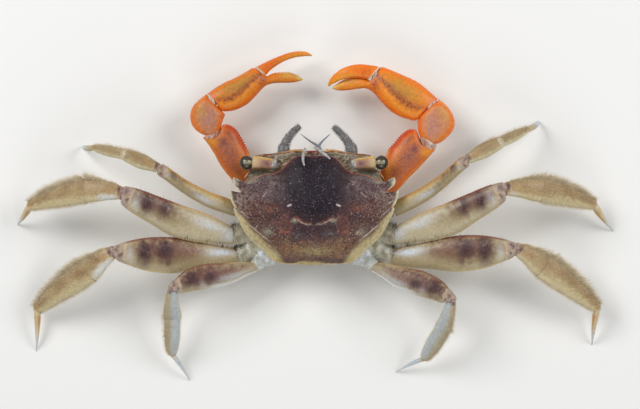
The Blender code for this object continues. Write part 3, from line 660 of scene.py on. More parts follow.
def shellPaint(x, y, edge, points):
    # Dark purple in the middle, lilac-grey behind the eyes, red-brown across the sides, gold towards the
    # rear, a cream wall behind and pale rims on the teeth, with pale, rusty and dark flecks all over.
    ax = np.abs(x)
    drift, fine, grit = cloud(points, 2.4, 3, 30), cloud(points, 0.8, 5, 40), cloud(points, 0.35, 6, 40)
    c = coat(points, (86, 58, 56))
    c = layered(c, rear=((96, 72, 62), ramp(0.2, 3.4, y) * (0.4 + 0.3 * drift)))
    for colour, middle, reach, cover, soft, grain in shellTones:
        c = lay(c, colour, spot(ax + 0.15 * fine, y + 0.12 * drift, middle, reach)
            * (cover + soft * fine + grain * grit))
    loop = np.abs(np.hypot((ax - 3.64 + 0.1 * fine) / 0.76, (y - 1.85 + 0.1 * drift) / 1.12) - 1)
    c = layered(c, loop=((140, 88, 76),
        fall(0.04, 0.34, loop) * (0.26 + 0.26 * ramp(1.4, 2.8, y) + 0.2 * fine + 0.3 * grit)))
    pale, warm = ramp(4.0, 8.5, ax), ramp(3.0, 5.0, ax) * ramp(-1.6, 0.4, y) + ramp(2.0, 4.0, y)
    flecks = (((184, 162, 150), 0.22, 31, 0.06 + 0.36 * pale), ((150, 92, 60), 0.3, 32, 0.34 * warm),
        ((30, 20, 26), 0.36, 33, 0.5))
    for colour, size, seed, cover in flecks:
        c = lay(c, colour, ramp(0.3, 1.3, cloud(points, size, seed, 40)) * cover)
    c = layered(c,
        moustacheShade=((118, 58, 40),
            strokeCover(ax, y + 0.24, shell["moustache"], [0.16, 0.26, 0.24, 0.18, 0.06], 0.14)
            * (0.55 + 0.35 * fine + 0.2 * grit)),
        moustacheEnd=((150, 144, 124), spot(ax, y, (2.5, 1.36), (0.36, 0.3)) * (0.7 + 0.35 * grit)),
        moustache=((186, 164, 144),
            strokeCover(ax + 0.05 * fine, y, shell["moustache"], [0.12, 0.16, 0.13, 0.15, 0.1], 0.09)
            * (0.75 + 0.25 * grit)),
        moustacheMiddle=((140, 118, 106),
            strokeCover(ax, y, [(0.34, 1.84), (0, 1.95)], [0.08, 0.05], 0.07) * 0.5),
        dash=((196, 180, 178), strokeCover(ax, y, [(2.98, -0.68), (3.32, -0.53)], [0.22, 0.22], 0.08)),
        shortDash=((176, 148, 132),
            strokeCover(ax, y, [(6.05, -2.3), (6.62, -1.7)], [0.08, 0.11], 0.07) * 0.9),
        ridge=((230, 220, 212),
            strokeCover(ax, y, shell["ridge"], [0.08, 0.14, 0.14, 0.11, 0.06], 0.06) * (0.85 + 0.3 * grit)),
    )
    for start, end in shell["streaks"]:
        c = layered(c, streak=((206, 192, 184),
            strokeCover(ax, y, [start, end], [0.09, 0.05], 0.06) * (0.75 + 0.4 * grit)))
    # rims, by the distance in from the margin
    wall = ramp(-0.6, 0.8, y) * ramp(3.6, 5.0, ax)
    wide = smoothThrough([-1, 0.5, 2.2, 4.5, 6.2, 7.2], [0.1, 0.65, 1.2, 1.3, 1.05, 0.4], y)
    deep = edge + 0.12 * drift + 0.08 * fine
    c = layered(c,
        wallShade=((132, 108, 76), wall * fall(wide * 0.7, wide * 1.6, deep) * (0.8 + 0.15 * grit)),
        wall=((206, 190, 142),
            wall * fall(wide * 0.45, wide * 1.1, deep) * (0.9 + 0.15 * grit + 0.08 * fine)),
        wallRim=((206, 198, 160), wall * fall(0.05, 0.4, edge) * (0.8 + 0.15 * drift)),
        rearCorner=((232, 196, 106), spot(ax, y, (5.4, 6.2), (1.2, 0.9)) * fall(0.1, 0.32, edge) * 0.9),
    )
    rear = ramp(6.0, 6.5, y) * fall(4.9, 5.4, ax)
    deepRear = 0.2 + 0.4 * bell(ax, 0, 1.8) + 0.45 * bell(ax, 4.9, 1.0)
    nearRear = edge + 0.08 * drift + 0.05 * grit
    c = layered(c,
        rearBand=((186, 164, 106), rear * fall(deepRear * 0.5, deepRear, nearRear) * 0.95),
        rearRim=((210, 188, 156), rear * fall(0.04, 0.12, edge)),
    )
    front = fall(-4.0, -3.3, y)
    c = layered(c,
        outerFront=((152, 146, 132),
            ramp(6.6, 8.4, ax) * fall(-3.6, -2.9, y) * fall(0.35, 1.0, edge) * (0.85 + 0.15 * grit)),
        orbit=((118, 108, 104), front * spot(ax, y, (6.4, -4.2), (1.8, 0.35)) * (0.6 + 0.2 * grit)),
        frontRim=((134, 48, 44), front * fall(0.05, 0.16, edge) * fall(2.2, 3.4, ax) * 0.8),
        orbitRim=((204, 108, 70),
            front * fall(0.04, 0.13, edge) * ramp(2.2, 3.4, ax) * (0.75 + 0.25 * fine)),
    )
    teeth = ramp(9.2, 9.9, ax) * ramp(-4.4, -4.0, y) * fall(-0.2, 0.3, y)
    c = layered(c,
        toothRim=((204, 198, 166), teeth * fall(0.18, 0.42, edge) * 0.95),
        toothTip=((196, 188, 162), spot(ax, y, (10.42, -3.8), (0.34, 0.62)) * 1.1),
        toothRust=((150, 76, 50),
            (spot(ax, y, (9.7, -2.5), (0.35, 0.22)) + spot(ax, y, (10.0, -0.5), (0.3, 0.2))) * 0.6),
    )
    return stippled(c, np.maximum(0.6 * warm, 0.15 + 0.8 * pale))


def buildShell():
    # Rings of the margin drawn in towards an oval and domed, over a wall that turns down and in below.
    margin = marginLine()
    mx, my = margin[:, 0], margin[:, 1]
    reach = np.hypot(mx, my)
    calm = calmReach(mx, my)
    a, b = shell["oval"]
    ovalReach = a * b / np.hypot(b * mx / reach, a * my / reach)
    t = np.linspace(0, 1, shell["rows"])[:, None]
    share = np.maximum(1 - t ** 1.08, 0.004)
    blend = ramp(0, 1, (1 - share) * 4.2)
    far = reach * (1 - blend) + ovalReach * blend
    x, y = mx / reach * far * share, my / reach * far * share
    inwards = (far * share / calm).clip(0, 1)
    lift = (1 - inwards ** shell["flat"]) ** shell["steep"]
    base = marginHeight(mx, my) + (marginHeight(0, 0) - marginHeight(mx, my)) * (1 - far * share / reach)
    edge = reach - far * share
    inside = ramp(0.0, 0.9, edge)
    z = base + (shell["top"] - base) * lift + shellRelief(x, y) * inside
    toothed = ramp(8.8, 9.6, np.abs(x)) * fall(-0.4, 0.2, y)
    z -= 0.1 * toothed * ramp(0.15, 0.45, edge) * fall(0.6, 1.4, edge)
    z += 0.09 * bell(edge, 0.1, 0.1) * (1 - ramp(-3.6, -3.0, y) * fall(6.2, 6.6, y) * (1 - toothed))
    back = np.stack([x, y, z], -1)
    colours = shellPaint(x, y, edge, back)
    s = np.linspace(1, 0, 20, endpoint=False)[:, None]
    inset = 1 - 0.125 * s ** 1.3
    top = z[0]
    wz = top * (1 - s) + (5.87 - 0.09 * my * 0.88) * s - 0.1 * np.sin(np.pi * s)
    wall = np.stack([mx * inset, my * inset, wz], -1)
    c = coat(wall, (176, 164, 124))
    c = layered(c,
        front=((126, 96, 84), fall(-3.2, -1.6, my) * np.ones_like(s) * 0.8),
        mottle=((150, 132, 96), 0.4 + 0.4 * cloud(wall, 1.2, 7)),
    )
    return closedShell(np.concatenate([wall, back]), np.concatenate([stippled(c, 0 * c[..., 0]), colours]))


makePiece("carapace_shell", [buildShell()], "shell", ["carapace"])
print("carapace made")

# The body under the carapace.

body = {
    "edge": [(0, -7.75), (1.1, -7.78), (2.2, -7.62), (3.2, -7.5), (4.2, -7.42), (6.2, -7.3), (7.4, -7.15),
        (7.95, -6.75), (8.05, -6.1), (8.05, -5.2), (8.7, -4.3), (9.3, -3.2), (9.5, -1.6),
        (9.45, 0.2), (8.9, 2.1), (7.6, 3.9), (5.9, 5.25), (4.2, 6.05), (2.0, 6.15), (0, 6.15)],
    "rings": [(1.75, 0.02, 0.02, 0.6), (1.72, 0.3, 0.35, 0.55), (1.75, 0.52, 0.6, 0.45),
        (1.98, 0.66, 0.71, 0.35), (3.1, 0.84, 0.86, 0.2), (4.5, 0.93, 0.95, 0.05),
        (5.6, 0.99, 0.99, 0.0)],
    "stations": [0, 0.25, 0.45, 0.58, 0.75, 0.88, 1.0],
    "seams": [(6.0, -4.1), (6.4, -2.0), (6.3, 0.2), (5.6, 2.3), (4.3, 4.2)],
    # Thin raised lines of the face: points, widths, tones from root to tip, rows and columns. They are
    # the arches over the mouth frame, the inner arches and the lower rims of the eye sockets.
    "lines": [
        ([(0.85, -7.28), (1.6, -7.62), (2.5, -7.68), (3.6, -7.5), (4.6, -7.38), (5.6, -7.26), (6.6, -7.2)],
         [0.26, 0.36, 0.3, 0.16, 0.12, 0.1], ((224, 168, 104), (150, 84, 44)), 90, 10),
        ([(1.9, -7.2), (2.7, -7.38), (3.5, -7.22), (4.1, -6.98)],
         [0.08, 0.14, 0.14, 0.08], ((188, 150, 112), (200, 184, 156)), 60, 8),
        ([(9.05, -4.05), (8.8, -4.4), (8.5, -4.8), (8.02, -5.16), (7.4, -5.32), (6.6, -5.26), (5.9, -5.14),
          (5.3, -5.0), (4.8, -4.86)],
         [0.2, 0.24, 0.24, 0.22, 0.2, 0.12], ((206, 140, 84), (212, 194, 154)), 90, 10),
    ],
    "lineLift": 0.08,
}


def bodyEdge(count):
    # The edge as one closed loop: the drawn half, then its mirror from the rear to the front.
    half = curveThrough(body["edge"], np.linspace(0, 1, count))
    return np.concatenate([half, half[-2:0:-1] * [-1, 1]])


def faceHeight(x, y):
    # The upper face in front of the carapace: hollow under the eyestalk and behind it, raised towards the
    # mouth.
    x = np.abs(x)
    return (5.7 - 0.09 * y - 0.5 * spot(x, y, (6.9, -6.1), (2.0, 0.5))
        - 0.3 * spot(x, y, (7.3, -4.95), (1.2, 0.32)) + 0.4 * spot(x, y, (3.2, -6.9), (2.3, 0.6)))



def buildBody():
    # The underside as rings of the upper edge, drawn in towards the belly; then the face and the floor of
    # the orbits, with the face's raised lines on them.
    edge = bodyEdge(190)
    ex, ey = edge[:, 0], edge[:, 1]
    t = np.linspace(0, 1, 70)[:, None]
    z, w, l, shift = (smoothThrough(body["stations"], [r[n] for r in body["rings"]], t) for n in range(4))
    rim = 5.75 - 0.09 * ey
    under = np.stack([ex * w, ey * l + shift, z + (faceHeight(ex, ey) - 5.6) * t ** 3 + 0 * ex], -1)
    x, y = under[..., 0], under[..., 1]
    ax = np.abs(x)
    for n, (gx, gy) in enumerate(body["seams"]):  # seams of the breast plates
        seam = strokeCover(ax, y, [(1.2, gy + 1.0 - 0.18 * n), (gx, gy)], [0.05, 0.05], 0.16)
        under[..., 2] += 0.14 * seam * (z < 3.4)
    s = np.linspace(0, 1, 52)[1:, None]
    inwards = 1 - 0.55 * s
    top = np.stack([ex * inwards, ey * inwards, rim + 0 * s], -1)
    ty = top[..., 1]
    rough = cloud(top, 0.45, 21, 40) * fall(-4.5, -3.5, ty) * ramp(0, 0.05, s)
    top[..., 2] = faceHeight(top[..., 0], ty) + 0.08 * rough
    grid = np.concatenate([under, top])
    gx, gy = np.abs(grid[..., 0]), grid[..., 1]
    c = coat(grid, (170, 158, 128))
    c = layered(c, mottle=((146, 128, 102), 0.5 + 0.5 * cloud(grid, 1.5, 23)))
    upper = np.concatenate([np.zeros((len(under), 1)), np.ones((len(top), 1))])
    lace = cloud(grid, 0.28, 24, 40)
    c = layered(c,
        face=((140, 128, 108), upper * np.ones_like(gx) * (0.85 + 0.3 * lace)),
        socket=((170, 168, 150), upper * spot(gx, gy, (7.0, -4.85), (1.7, 0.5)) * (0.75 + 0.3 * lace)),
        lace=((224, 206, 180), upper * spot(gx, gy, (4.2, -6.2), (1.1, 0.85)) * ramp(-0.1, 0.4, lace)),
        yellow=((206, 168, 72),
            upper * spot(gx, gy, (4.7, -5.7), (0.5, 0.45)) * ramp(0.1, 0.6, lace) * 0.9),
        hollow=((70, 60, 52),
            upper * spot(gx, gy, (4.2, -6.4), (1.2, 0.8)) * fall(-0.6, 0.0, lace) * 0.8),
        blue=((150, 158, 184), upper * spot(gx, gy, (5.15, -6.0), (0.45, 0.65)) * 0.9),
        brow=((56, 46, 44), upper * spot(gx, gy, (2.2, -7.15), (0.9, 0.2)) * 0.8),
        mouthSlot=((60, 58, 50), upper * spot(gx, gy, (0, -7.2), (0.9, 0.16)) * 0.8),
        red=((140, 36, 28), spot(gx, gy, (0, -7.56), (0.75, 0.2)) * 1.3),
        cheekEdge=((150, 92, 52), (upper * fall(-7.1, -6.8, gy) * ramp(5.0, 5.6, gx)) * 0.7),
    )
    # the face below: cheeks netted with brown, and a mouth field with a raised pale frame and a slit down
    # its middle
    gz = grid[..., 2]
    face = (1 - upper) * fall(-5.0, -4.4, gy)
    c = layered(c,
        cheekNet=((128, 100, 82),
            face * ramp(3.0, 3.4, gx) * ramp(-0.1, 0.7, cloud(grid, 0.55, 25, 40)) * 0.75),
        mouthField=((126, 104, 82),
            face * fall(2.8, 3.0, gx) * fall(4.9, 5.1, gz) * (0.6 + 0.25 * lace)),
    )
    frameLine = [(2.7, 1.6), (3.0, 3.0), (3.05, 4.9), (1.7, 5.2), (0, 5.15)]
    c = layered(c,
        frameShade=((86, 60, 50), face * strokeCover(gx, gz, frameLine, [0.42] * 5, 0.08) * 0.8),
        frame=((212, 186, 146), face * strokeCover(gx, gz, frameLine, [0.18] * 5, 0.06)),
        slit=((76, 54, 44), face * strokeCover(gx, gz, [(0, 1.6), (0, 5.0)], [0.08, 0.08], 0.05)),
        crease=((96, 72, 58),
            face * strokeCover(gx, gz, [(0.2, 3.9), (1.5, 3.6), (2.8, 3.9)], [0.08] * 3, 0.05) * 0.8),
    )
    c = stippled(c, upper * fall(-4.8, -4.0, gy) * 0.9 + face * 0.5)
    shells = [closedShell(grid, c)]
    for side in (1, -1):
        for line, widths, tones, rows, columns in body["lines"]:
            path = [(px, py, float(faceHeight(px, py)) + body["lineLift"]) for px, py in line]
            shells.append(feelerShell(path, widths, side, tones, rows, columns))
    return shells


makePiece("body_underside", buildBody(), "belly", ["thorax"])
print("body made")

# The walking legs.

# lengths, widths and thicknesses of merus, carpus, propodus and dactylus, in mm
legPairs = {
    1: {"lengths": (11.8, 4.8, 5.5, 4.1), "widths": (2.15, 2.05, 1.45, 0.9),
        "thick": (1.7, 1.45, 1.25, 0.8)},
    2: {"lengths": (15.8, 4.8, 8.65, 5.15), "widths": (4.2, 3.25, 3.3, 1.05),
        "thick": (2.0, 1.6, 1.5, 0.85)},
    3: {"lengths": (16.6, 4.4, 9.7, 5.55), "widths": (4.7, 3.3, 3.5, 1.0), "thick": (2.0, 1.6, 1.5, 0.85)},
    4: {"lengths": (11.3, 4.45, 5.9, 4.25), "widths": (3.4, 2.35, 2.15, 0.66),
        "thick": (1.55, 1.3, 1.2, 0.75)},
}
legPoses = {  # hip, headings backwards from sideways, rises
    ("left", 1): ((10.1, -0.15, 4.0), (-27.9, -21.3, -12.6, -6.7), (17.5, -4, -38)),
    ("left", 2): ((10.5, 3.3, 4.3), (-21, -4, 14.5, 50.7), (15.8, -9, -24.5)),
    ("left", 3): ((9.9, 6.18, 3.25), (-2.6, 36.6, 36, 87.3), (15.5, -19, -25.5)),
    ("left", 4): ((7.7, 7.25, 4.4), (15.5, 88, 88.1, 121.7), (15, -34, -29)),
    ("right", 1): ((10.45, -0.15, 4.0), (-34.5, -26.6, -25.3, -31.8), (17, -3, -40)),
    ("right", 2): ((10.5, 3.3, 4.3), (-22.9, 1.5, 14.7, 51.3), (14, -9, -30)),
    ("right", 3): ((10.15, 6.18, 3.25), (-4, 32.1, 37.5, 94.6), (15, -19, -18)),
    ("right", 4): ((7.8, 7.25, 4.4), (23.8, 104.5, 120.5, 152.6), (17, -28, -36)),
}
# share of the length, rear edge, front edge, thickness
segmentOutlines = {
    "merus1": [(-0.03, 0.46, -0.38, 0.8), (0.12, 0.6, -0.34, 1.0), (0.37, 0.74, -0.15, 1.0),
        (0.62, 0.67, -0.13, 1.0), (0.85, 0.48, -0.26, 0.95), (0.97, 0.4, -0.34, 0.88),
        (1.03, 0.36, -0.32, 0.8)],
    "merus2": [(-0.03, 0.26, -0.2, 0.75), (0.1, 0.4, -0.27, 0.9), (0.3, 0.62, -0.33, 1.0),
        (0.48, 0.69, -0.31, 1.0), (0.7, 0.56, -0.31, 0.95), (0.9, 0.42, -0.3, 0.85),
        (1.02, 0.25, -0.23, 0.7)],
    "merus3": [(-0.03, 0.2, -0.2, 0.75), (0.12, 0.32, -0.29, 0.9), (0.32, 0.41, -0.38, 1.0),
        (0.55, 0.52, -0.48, 1.0), (0.74, 0.47, -0.44, 0.95), (0.9, 0.31, -0.31, 0.85),
        (1.02, 0.16, -0.15, 0.65)],
    "merus4": [(-0.03, 0.22, -0.12, 0.75), (0.14, 0.3, -0.28, 0.9), (0.36, 0.43, -0.42, 1.0),
        (0.6, 0.38, -0.58, 1.0), (0.82, 0.28, -0.52, 0.95), (0.95, 0.25, -0.33, 0.85),
        (1.03, 0.2, -0.22, 0.7)],
    "carpus": [(-0.06, 0.22, -0.24, 0.65), (0.16, 0.26, -0.35, 0.88), (0.5, 0.33, -0.43, 0.95),
        (0.85, 0.44, -0.49, 1.0), (1.06, 0.46, -0.52, 1.0)],
    "propodus": [(-0.05, 0.45, -0.51, 1.0), (0.25, 0.42, -0.52, 0.95), (0.5, 0.34, -0.45, 0.85),
        (0.72, 0.27, -0.37, 0.75), (0.9, 0.21, -0.25, 0.62), (1.03, 0.15, -0.16, 0.52)],
    "carpus1": [(-0.06, 0.3, -0.28, 0.7), (0.16, 0.36, -0.36, 0.85), (0.5, 0.48, -0.48, 1.0),
        (0.8, 0.42, -0.45, 1.0), (1.06, 0.34, -0.38, 0.9)],
    "propodus1": [(-0.05, 0.44, -0.46, 1.0), (0.35, 0.48, -0.5, 0.95), (0.72, 0.4, -0.42, 0.8),
        (1.03, 0.24, -0.26, 0.6)],
    "propodus4": [(-0.05, 0.45, -0.48, 1.0), (0.35, 0.45, -0.5, 0.95), (0.7, 0.38, -0.46, 0.85),
        (0.9, 0.28, -0.36, 0.7), (1.03, 0.15, -0.18, 0.5)],
    "dactylus1": [(-0.04, 0.42, -0.44, 0.9), (0.3, 0.42, -0.46, 0.85), (0.7, 0.32, -0.38, 0.6),
        (0.93, 0.18, -0.26, 0.35), (1.03, 0.08, -0.12, 0.2)],
    "dactylus": [(-0.04, 0.4, -0.4, 0.9), (0.15, 0.42, -0.46, 0.95), (0.45, 0.27, -0.38, 0.72),
        (0.75, 0.13, -0.27, 0.5), (0.93, 0.06, -0.16, 0.3), (1.03, 0.03, -0.09, 0.2)],
}
# backward bow and upward arch in mm, squareness, rows and columns, rounding of each end's rim
segmentMakes = {
    "merus": {"bow": 0, "arch": 0.1, "square": 2.1, "mesh": (170, 64), "lip": (0.1, 0.28)},
    "carpus": {"bow": 0, "arch": 0.16, "square": 2.1, "mesh": (60, 44), "lip": (0.12, 0.03)},
    "propodus": {"bow": 0, "arch": 0.1, "square": 2.2, "mesh": (80, 44), "lip": (0.03, 0.12)},
    "dactylus": {"bow": 0.14, "arch": 0.22, "square": 2.0, "mesh": (60, 28), "lip": (0.08, 0.12)},
}
hindMerusLip = (0.1, 0.45)
# how far the white strip of painted highlight runs along the carpus, as a share of it, where there is one
paintedHighlightStrips = {("left", 2): 0.8, ("left", 3): 1.05, ("right", 2): 0.45, ("right", 3): 0.3}
jointGaps = [0.04, 0.05, 0.006, 0.04]  # half of the cut at the hip and after the merus, carpus and propodus
# Share of the length, place across (front -1, rear 1), half-length, half-width and strength of the stippled
# brown field, the blotches and the pale patches of painted highlight.
legPaint = {
    1: {"ground": (168, 152, 116), "rim": (206, 138, 56), "rimFrom": 0.1,
        "field": (0.72, -0.55, 0.16, 0.5, 0.3),
        "blotches": [(0.94, -0.2, 0.022, 0.7, 0.75), (0.83, -0.45, 0.05, 0.45, 0.75),
            (0.72, -0.5, 0.045, 0.3, 0.4)],
        "pale": [(0.4, 0.1, 0.14, 0.4, 0.55), (0.89, 0.2, 0.024, 0.5, 0.38)],
        "sandy": (0.62, 0.1, 0.22, 0.45)},
    2: {"ground": (184, 170, 138), "rim": (122, 44, 42), "rimFrom": 0.46,
        "field": (0.76, -0.5, 0.2, 0.66, 0.8),
        "blotches": [(0.785, -0.22, 0.056, 0.7, 0.95), (0.635, -0.35, 0.056, 0.52, 0.88),
            (0.97, -0.65, 0.02, 0.4, 0.6)],
        "pale": [(0.24, -0.42, 0.13, 0.3, 0.6), (0.87, 0.05, 0.034, 0.55, 0.42),
            (0.04, -0.1, 0.07, 0.6, 0.6)],
        "sandy": (0.64, -0.22, 0.24, 0.66)},
    3: {"ground": (180, 164, 128), "rim": (116, 46, 44), "rimFrom": 0.38,
        "field": (0.58, -0.36, 0.32, 0.64, 0.92),
        "blotches": [(0.765, -0.1, 0.058, 0.85, 0.95), (0.605, -0.25, 0.072, 0.6, 1.0),
            (0.575, 0.35, 0.035, 0.3, 0.6)],
        "pale": [(0.15, -0.45, 0.11, 0.36, 0.95), (0.88, 0.15, 0.03, 0.6, 0.38)],
        "sandy": (0.56, 0.05, 0.26, 0.62)},
    4: {"ground": (172, 158, 128), "rim": (132, 80, 60), "rimFrom": 0.25,
        "field": (0.58, -0.2, 0.42, 0.84, 1.05),
        "blotches": [(0.78, -0.05, 0.105, 0.66, 0.9), (0.565, 0.1, 0.075, 0.5, 0.86)],
        "pale": [(0.67, 0.5, 0.04, 0.35, 0.26), (0.3, 0.45, 0.22, 0.25, 0.45)],
        "sandy": (0.2, -0.3, 0.16, 0.4)},
}
outerGrounds = {1: (166, 146, 108), 2: (172, 146, 106), 3: (180, 156, 116), 4: (180, 168, 134)}


def limbRoot(hip):
    # Where a limb's base leaves the body: 62 % of the way out to the hip and 3.3 mm up.
    return np.array([hip[0] * 0.62, hip[1] * 0.7 - 0.2, 3.3])


def legJoints(sideName, pair):
    # The five joints from hip to tip; the dactylus drops from the last joint to the floor.
    hip, headings, rises = legPoses[sideName, pair]
    lengths = legPairs[pair]["lengths"]
    joints = [np.array(hip, float)]
    for heading, rise, length in zip(headings, rises, lengths):
        joints.append(joints[-1] + direction(heading, rise) * length)
    drop = math.degrees(math.asin((joints[-1][2] - 0.16) / lengths[-1]))
    joints.append(joints[-1] + direction(headings[-1], -drop) * lengths[-1])
    return joints


def cutAt(point, normal, gap):
    # A plane for a slanted end, moved along its own normal by the gap.
    normal = unit(normal)
    return np.asarray(point) + normal * gap, normal


def meralPaint(pair, seed):
    # Cream with a stippled brown field and purple-brown blotches, a sandy stretch and blue-white painted
    # highlights, a pale rim behind and an orange to red-brown one in front, and lobes lined with cream at
    # the far end.
    p = legPaint[pair]

    def paint(share, x, z, grid):
        fine, drift, grit = noises(grid, seed, 0.8, 2.6, 0.3)
        a = x + 0.1 * fine + 0.05 * grit
        s = share + (0.007 * fine + 0.006 * drift + 0.002 * grit)
        above = ramp(-0.4, 0.1, z)

        def patch(place, sharp):
            s0, a0, ws, wa = place[:4]
            return np.exp(-(((s - s0) / ws) ** 2 + ((a - a0) / wa) ** 2) ** sharp)

        c = coat(grid, p["ground"])
        c = layered(c, sandy=((134, 114, 80), patch(p["sandy"], 1.6) * (0.74 + 0.22 * fine)))
        if pair == 1:
            c = layered(c, gold=((196, 164, 96), fall(-0.55, 0.1, a) * 0.65))
        field = patch(p["field"], 2.0) * p["field"][4] * above
        c = layered(c, field=((116, 78, 66), field * (0.92 + 0.16 * grit + 0.08 * fine)))
        # blue-white patches of painted highlight
        for place in p["pale"]:
            s0, a0, ws, wa = place[:4]
            c = layered(c, gloss=((200, 208, 218),
                spot(share, x + 0.08 * drift, (s0, a0), (ws, wa)) * place[4] * (1 + 0.15 * grit) * above))
        dark = 0
        for place in p["blotches"]:
            dark = np.maximum(dark, patch(place, 1.3) * place[4] * above)
        c = layered(c,
            halo=((108, 72, 62), np.sqrt(dark) * 0.6 * (0.8 + 0.2 * fine)),
            blotch=((56, 34, 42), dark * (0.92 + 0.18 * grit)),
        )
        rim = fall(-0.975, -0.8, x)
        c = layered(c,
            bodyEnd=((212, 166, 104), rim * fall(p["rimFrom"], p["rimFrom"] + 0.2, share) * 0.6),
            frontRim=(p["rim"], rim * ramp(p["rimFrom"], p["rimFrom"] + 0.15, share) * 0.85),
            rearRim=((214, 192, 142), ramp(0.84, 0.97, x) * (0.8 if pair != 4 else 0.4)),
        )
        if pair == 4:
            c = layered(c, whiteRim=((220, 222, 220),
                ramp(0.62, 0.9, x) * fall(0.45, 0.75, share) * 0.9))
        lobes = ramp(0.9, 0.925, s)
        front, rear = spot(s, a, (0.98, -0.45), (0.022, 0.35)), spot(s, a, (0.955, 0.35), (0.014, 0.28))
        arc = strokeCover(s, a * 0.12, [(0.915, -0.1), (0.93, 0.0), (0.915, 0.11)], [0.005] * 3, 0.006)
        stem = strokeCover(s, a * 0.12, [(0.93, 0.0), (1.0, 0.02)], [0.006] * 2, 0.006)
        c = layered(c,
            lobe=((176, 162, 146), lobes * (0.75 + 0.2 * fine)),
            lobeGrain=((172, 122, 98), lobes * (0.14 + 0.24 * grit)),
            lobeShade=((92, 58, 68), lobes * (front + rear) * 0.8),
            lobeLine=((218, 190, 150), (arc + stem) * 0.75),
            underside=((190, 178, 146), fall(-0.6, -0.1, z) * 0.8),
        )
        return stippled(c, field * 1.1 + 0.35 * dark)

    return paint


def outerPaint(kind, pair, seed, strip):
    # Carpus and propodus: velvety tan, a cream band behind the middle that is partly a painted highlight, a
    # white strip of painted highlight behind the knee; the dactylus runs from tan to a clear blue-white
    # tip, with a painted highlight on it.
    def paint(share, x, z, grid):
        fine, drift, grit = noises(grid, seed, 0.6, 2.2, 0.3)
        a = x + 0.08 * fine
        c = coat(grid, outerGrounds[pair])
        c = layered(c,
            shade=((134, 104, 68),
                (0.36 + 0.25 * drift) * fall(-0.2, 0.4, a) * (0.4 if pair == 4 else 1.0)),
            # the cream along the rear side is partly its own colour and partly a painted highlight
            rear=((210, 196, 154), ramp(0.3, 0.75, a) * 0.75),
        )
        if kind == "carpus":
            c = layered(c,
                # a white strip of painted highlight behind the knee
                strip=((214, 214, 208),
                    ramp(0.12, 0.62, x + 0.08 * fine) * ramp(0.05, 0.25, share)
                    * fall(strip - 0.35, strip, share + 0.05 * fine) * min(0.95, 1.3 * strip)),
                warm=((186, 150, 104),
                    ramp(0.1, 0.25, share) * fall(0.3, 0.5, share) * bell(a, -0.1, 0.5) * 0.5),
                knee=((88, 56, 62),
                    spot(share, a, (0.05, -0.25), (0.075, 0.6)) * (0.85 + 0.3 * fine) * ramp(-0.4, 0.1, z)),
                kneeRim=((206, 186, 152),
                    spot(share, a, (0.13, -0.1), (0.02, 0.9)) * (0.4 + 0.3 * grit)),
            )
        else:
            # the cream band on the propodus is partly its own colour and partly a painted highlight
            band = bell(a - 0.05 * share, 0.42, 0.3) * ramp(0.05, 0.3, share)
            c = layered(c, band=((198, 182, 138),
                band * (0.85 + 0.1 * fine) * (1.0 if pair in (2, 3) else 0.35)))
        if pair == 4:
            c = layered(c,
                bluish=((178, 188, 194), ramp(-0.75, 0.55, a) * (0.85 + 0.1 * grit)),
                bluishRim=((202, 192, 158), ramp(0.8, 0.97, x) * 0.6),
            )
        if pair == 1:
            ends = fall(0.0, 0.05, share) if kind == "propodus" else ramp(0.93, 1.0, share)
            c = layered(c,
                cream=((206, 196, 160), ramp(0.3, 0.8, a) * 0.6),
                ends=((212, 202, 178), ends * (0.5 + 0.2 * grit)),
            )
        if kind == "propodus":
            c = layered(c, tan=((190, 148, 86), ramp(0.9, 1.0, share) * (0.55 if pair < 4 else 0.3)))
        if kind == "dactylus":
            base = (202, 172, 120) if pair in (2, 3) else (184, 192, 196)
            c = coat(grid, base)
            c = layered(c,
                nailShade=((170, 116, 62),
                    spot(share, a, (0.2, 0.5), (0.25, 0.4)) * (0.6 if pair in (2, 3) else 0)),
                nailTip=((190, 202, 206), ramp(0.42, 0.85, share) * (0.8 if pair in (2, 3) else 0.95)),
                # a painted highlight on the dactylus
                nailGloss=((222, 226, 226), spot(a, share, (-0.2, 0.75), (0.35, 0.5)) * 0.6),
                nailRoot=((206, 196, 164), fall(0.06, 0.16, share) * 0.7),
            )
            if pair == 1:
                c = layered(c, nailSand=((184, 168, 128), fall(0.3, 0.6, share) * 0.85))
        c = layered(c, underside=((180, 166, 130), fall(-0.7, -0.2, z) * 0.6))
        return c

    return paint


def crest(segmentLength, pitch, height, edge=-1, start=0.05, stop=0.95):
    # A row of fine granules along one edge.
    def relief(share, x, z):
        on = ramp(0.86, 0.97, x * edge) * ramp(start, start + 0.05, share) * fall(stop - 0.04, stop, share)
        return height * on * beads(share * segmentLength, pitch) * bell(z, 0.12, 0.16)

    return relief


legSegments = {}


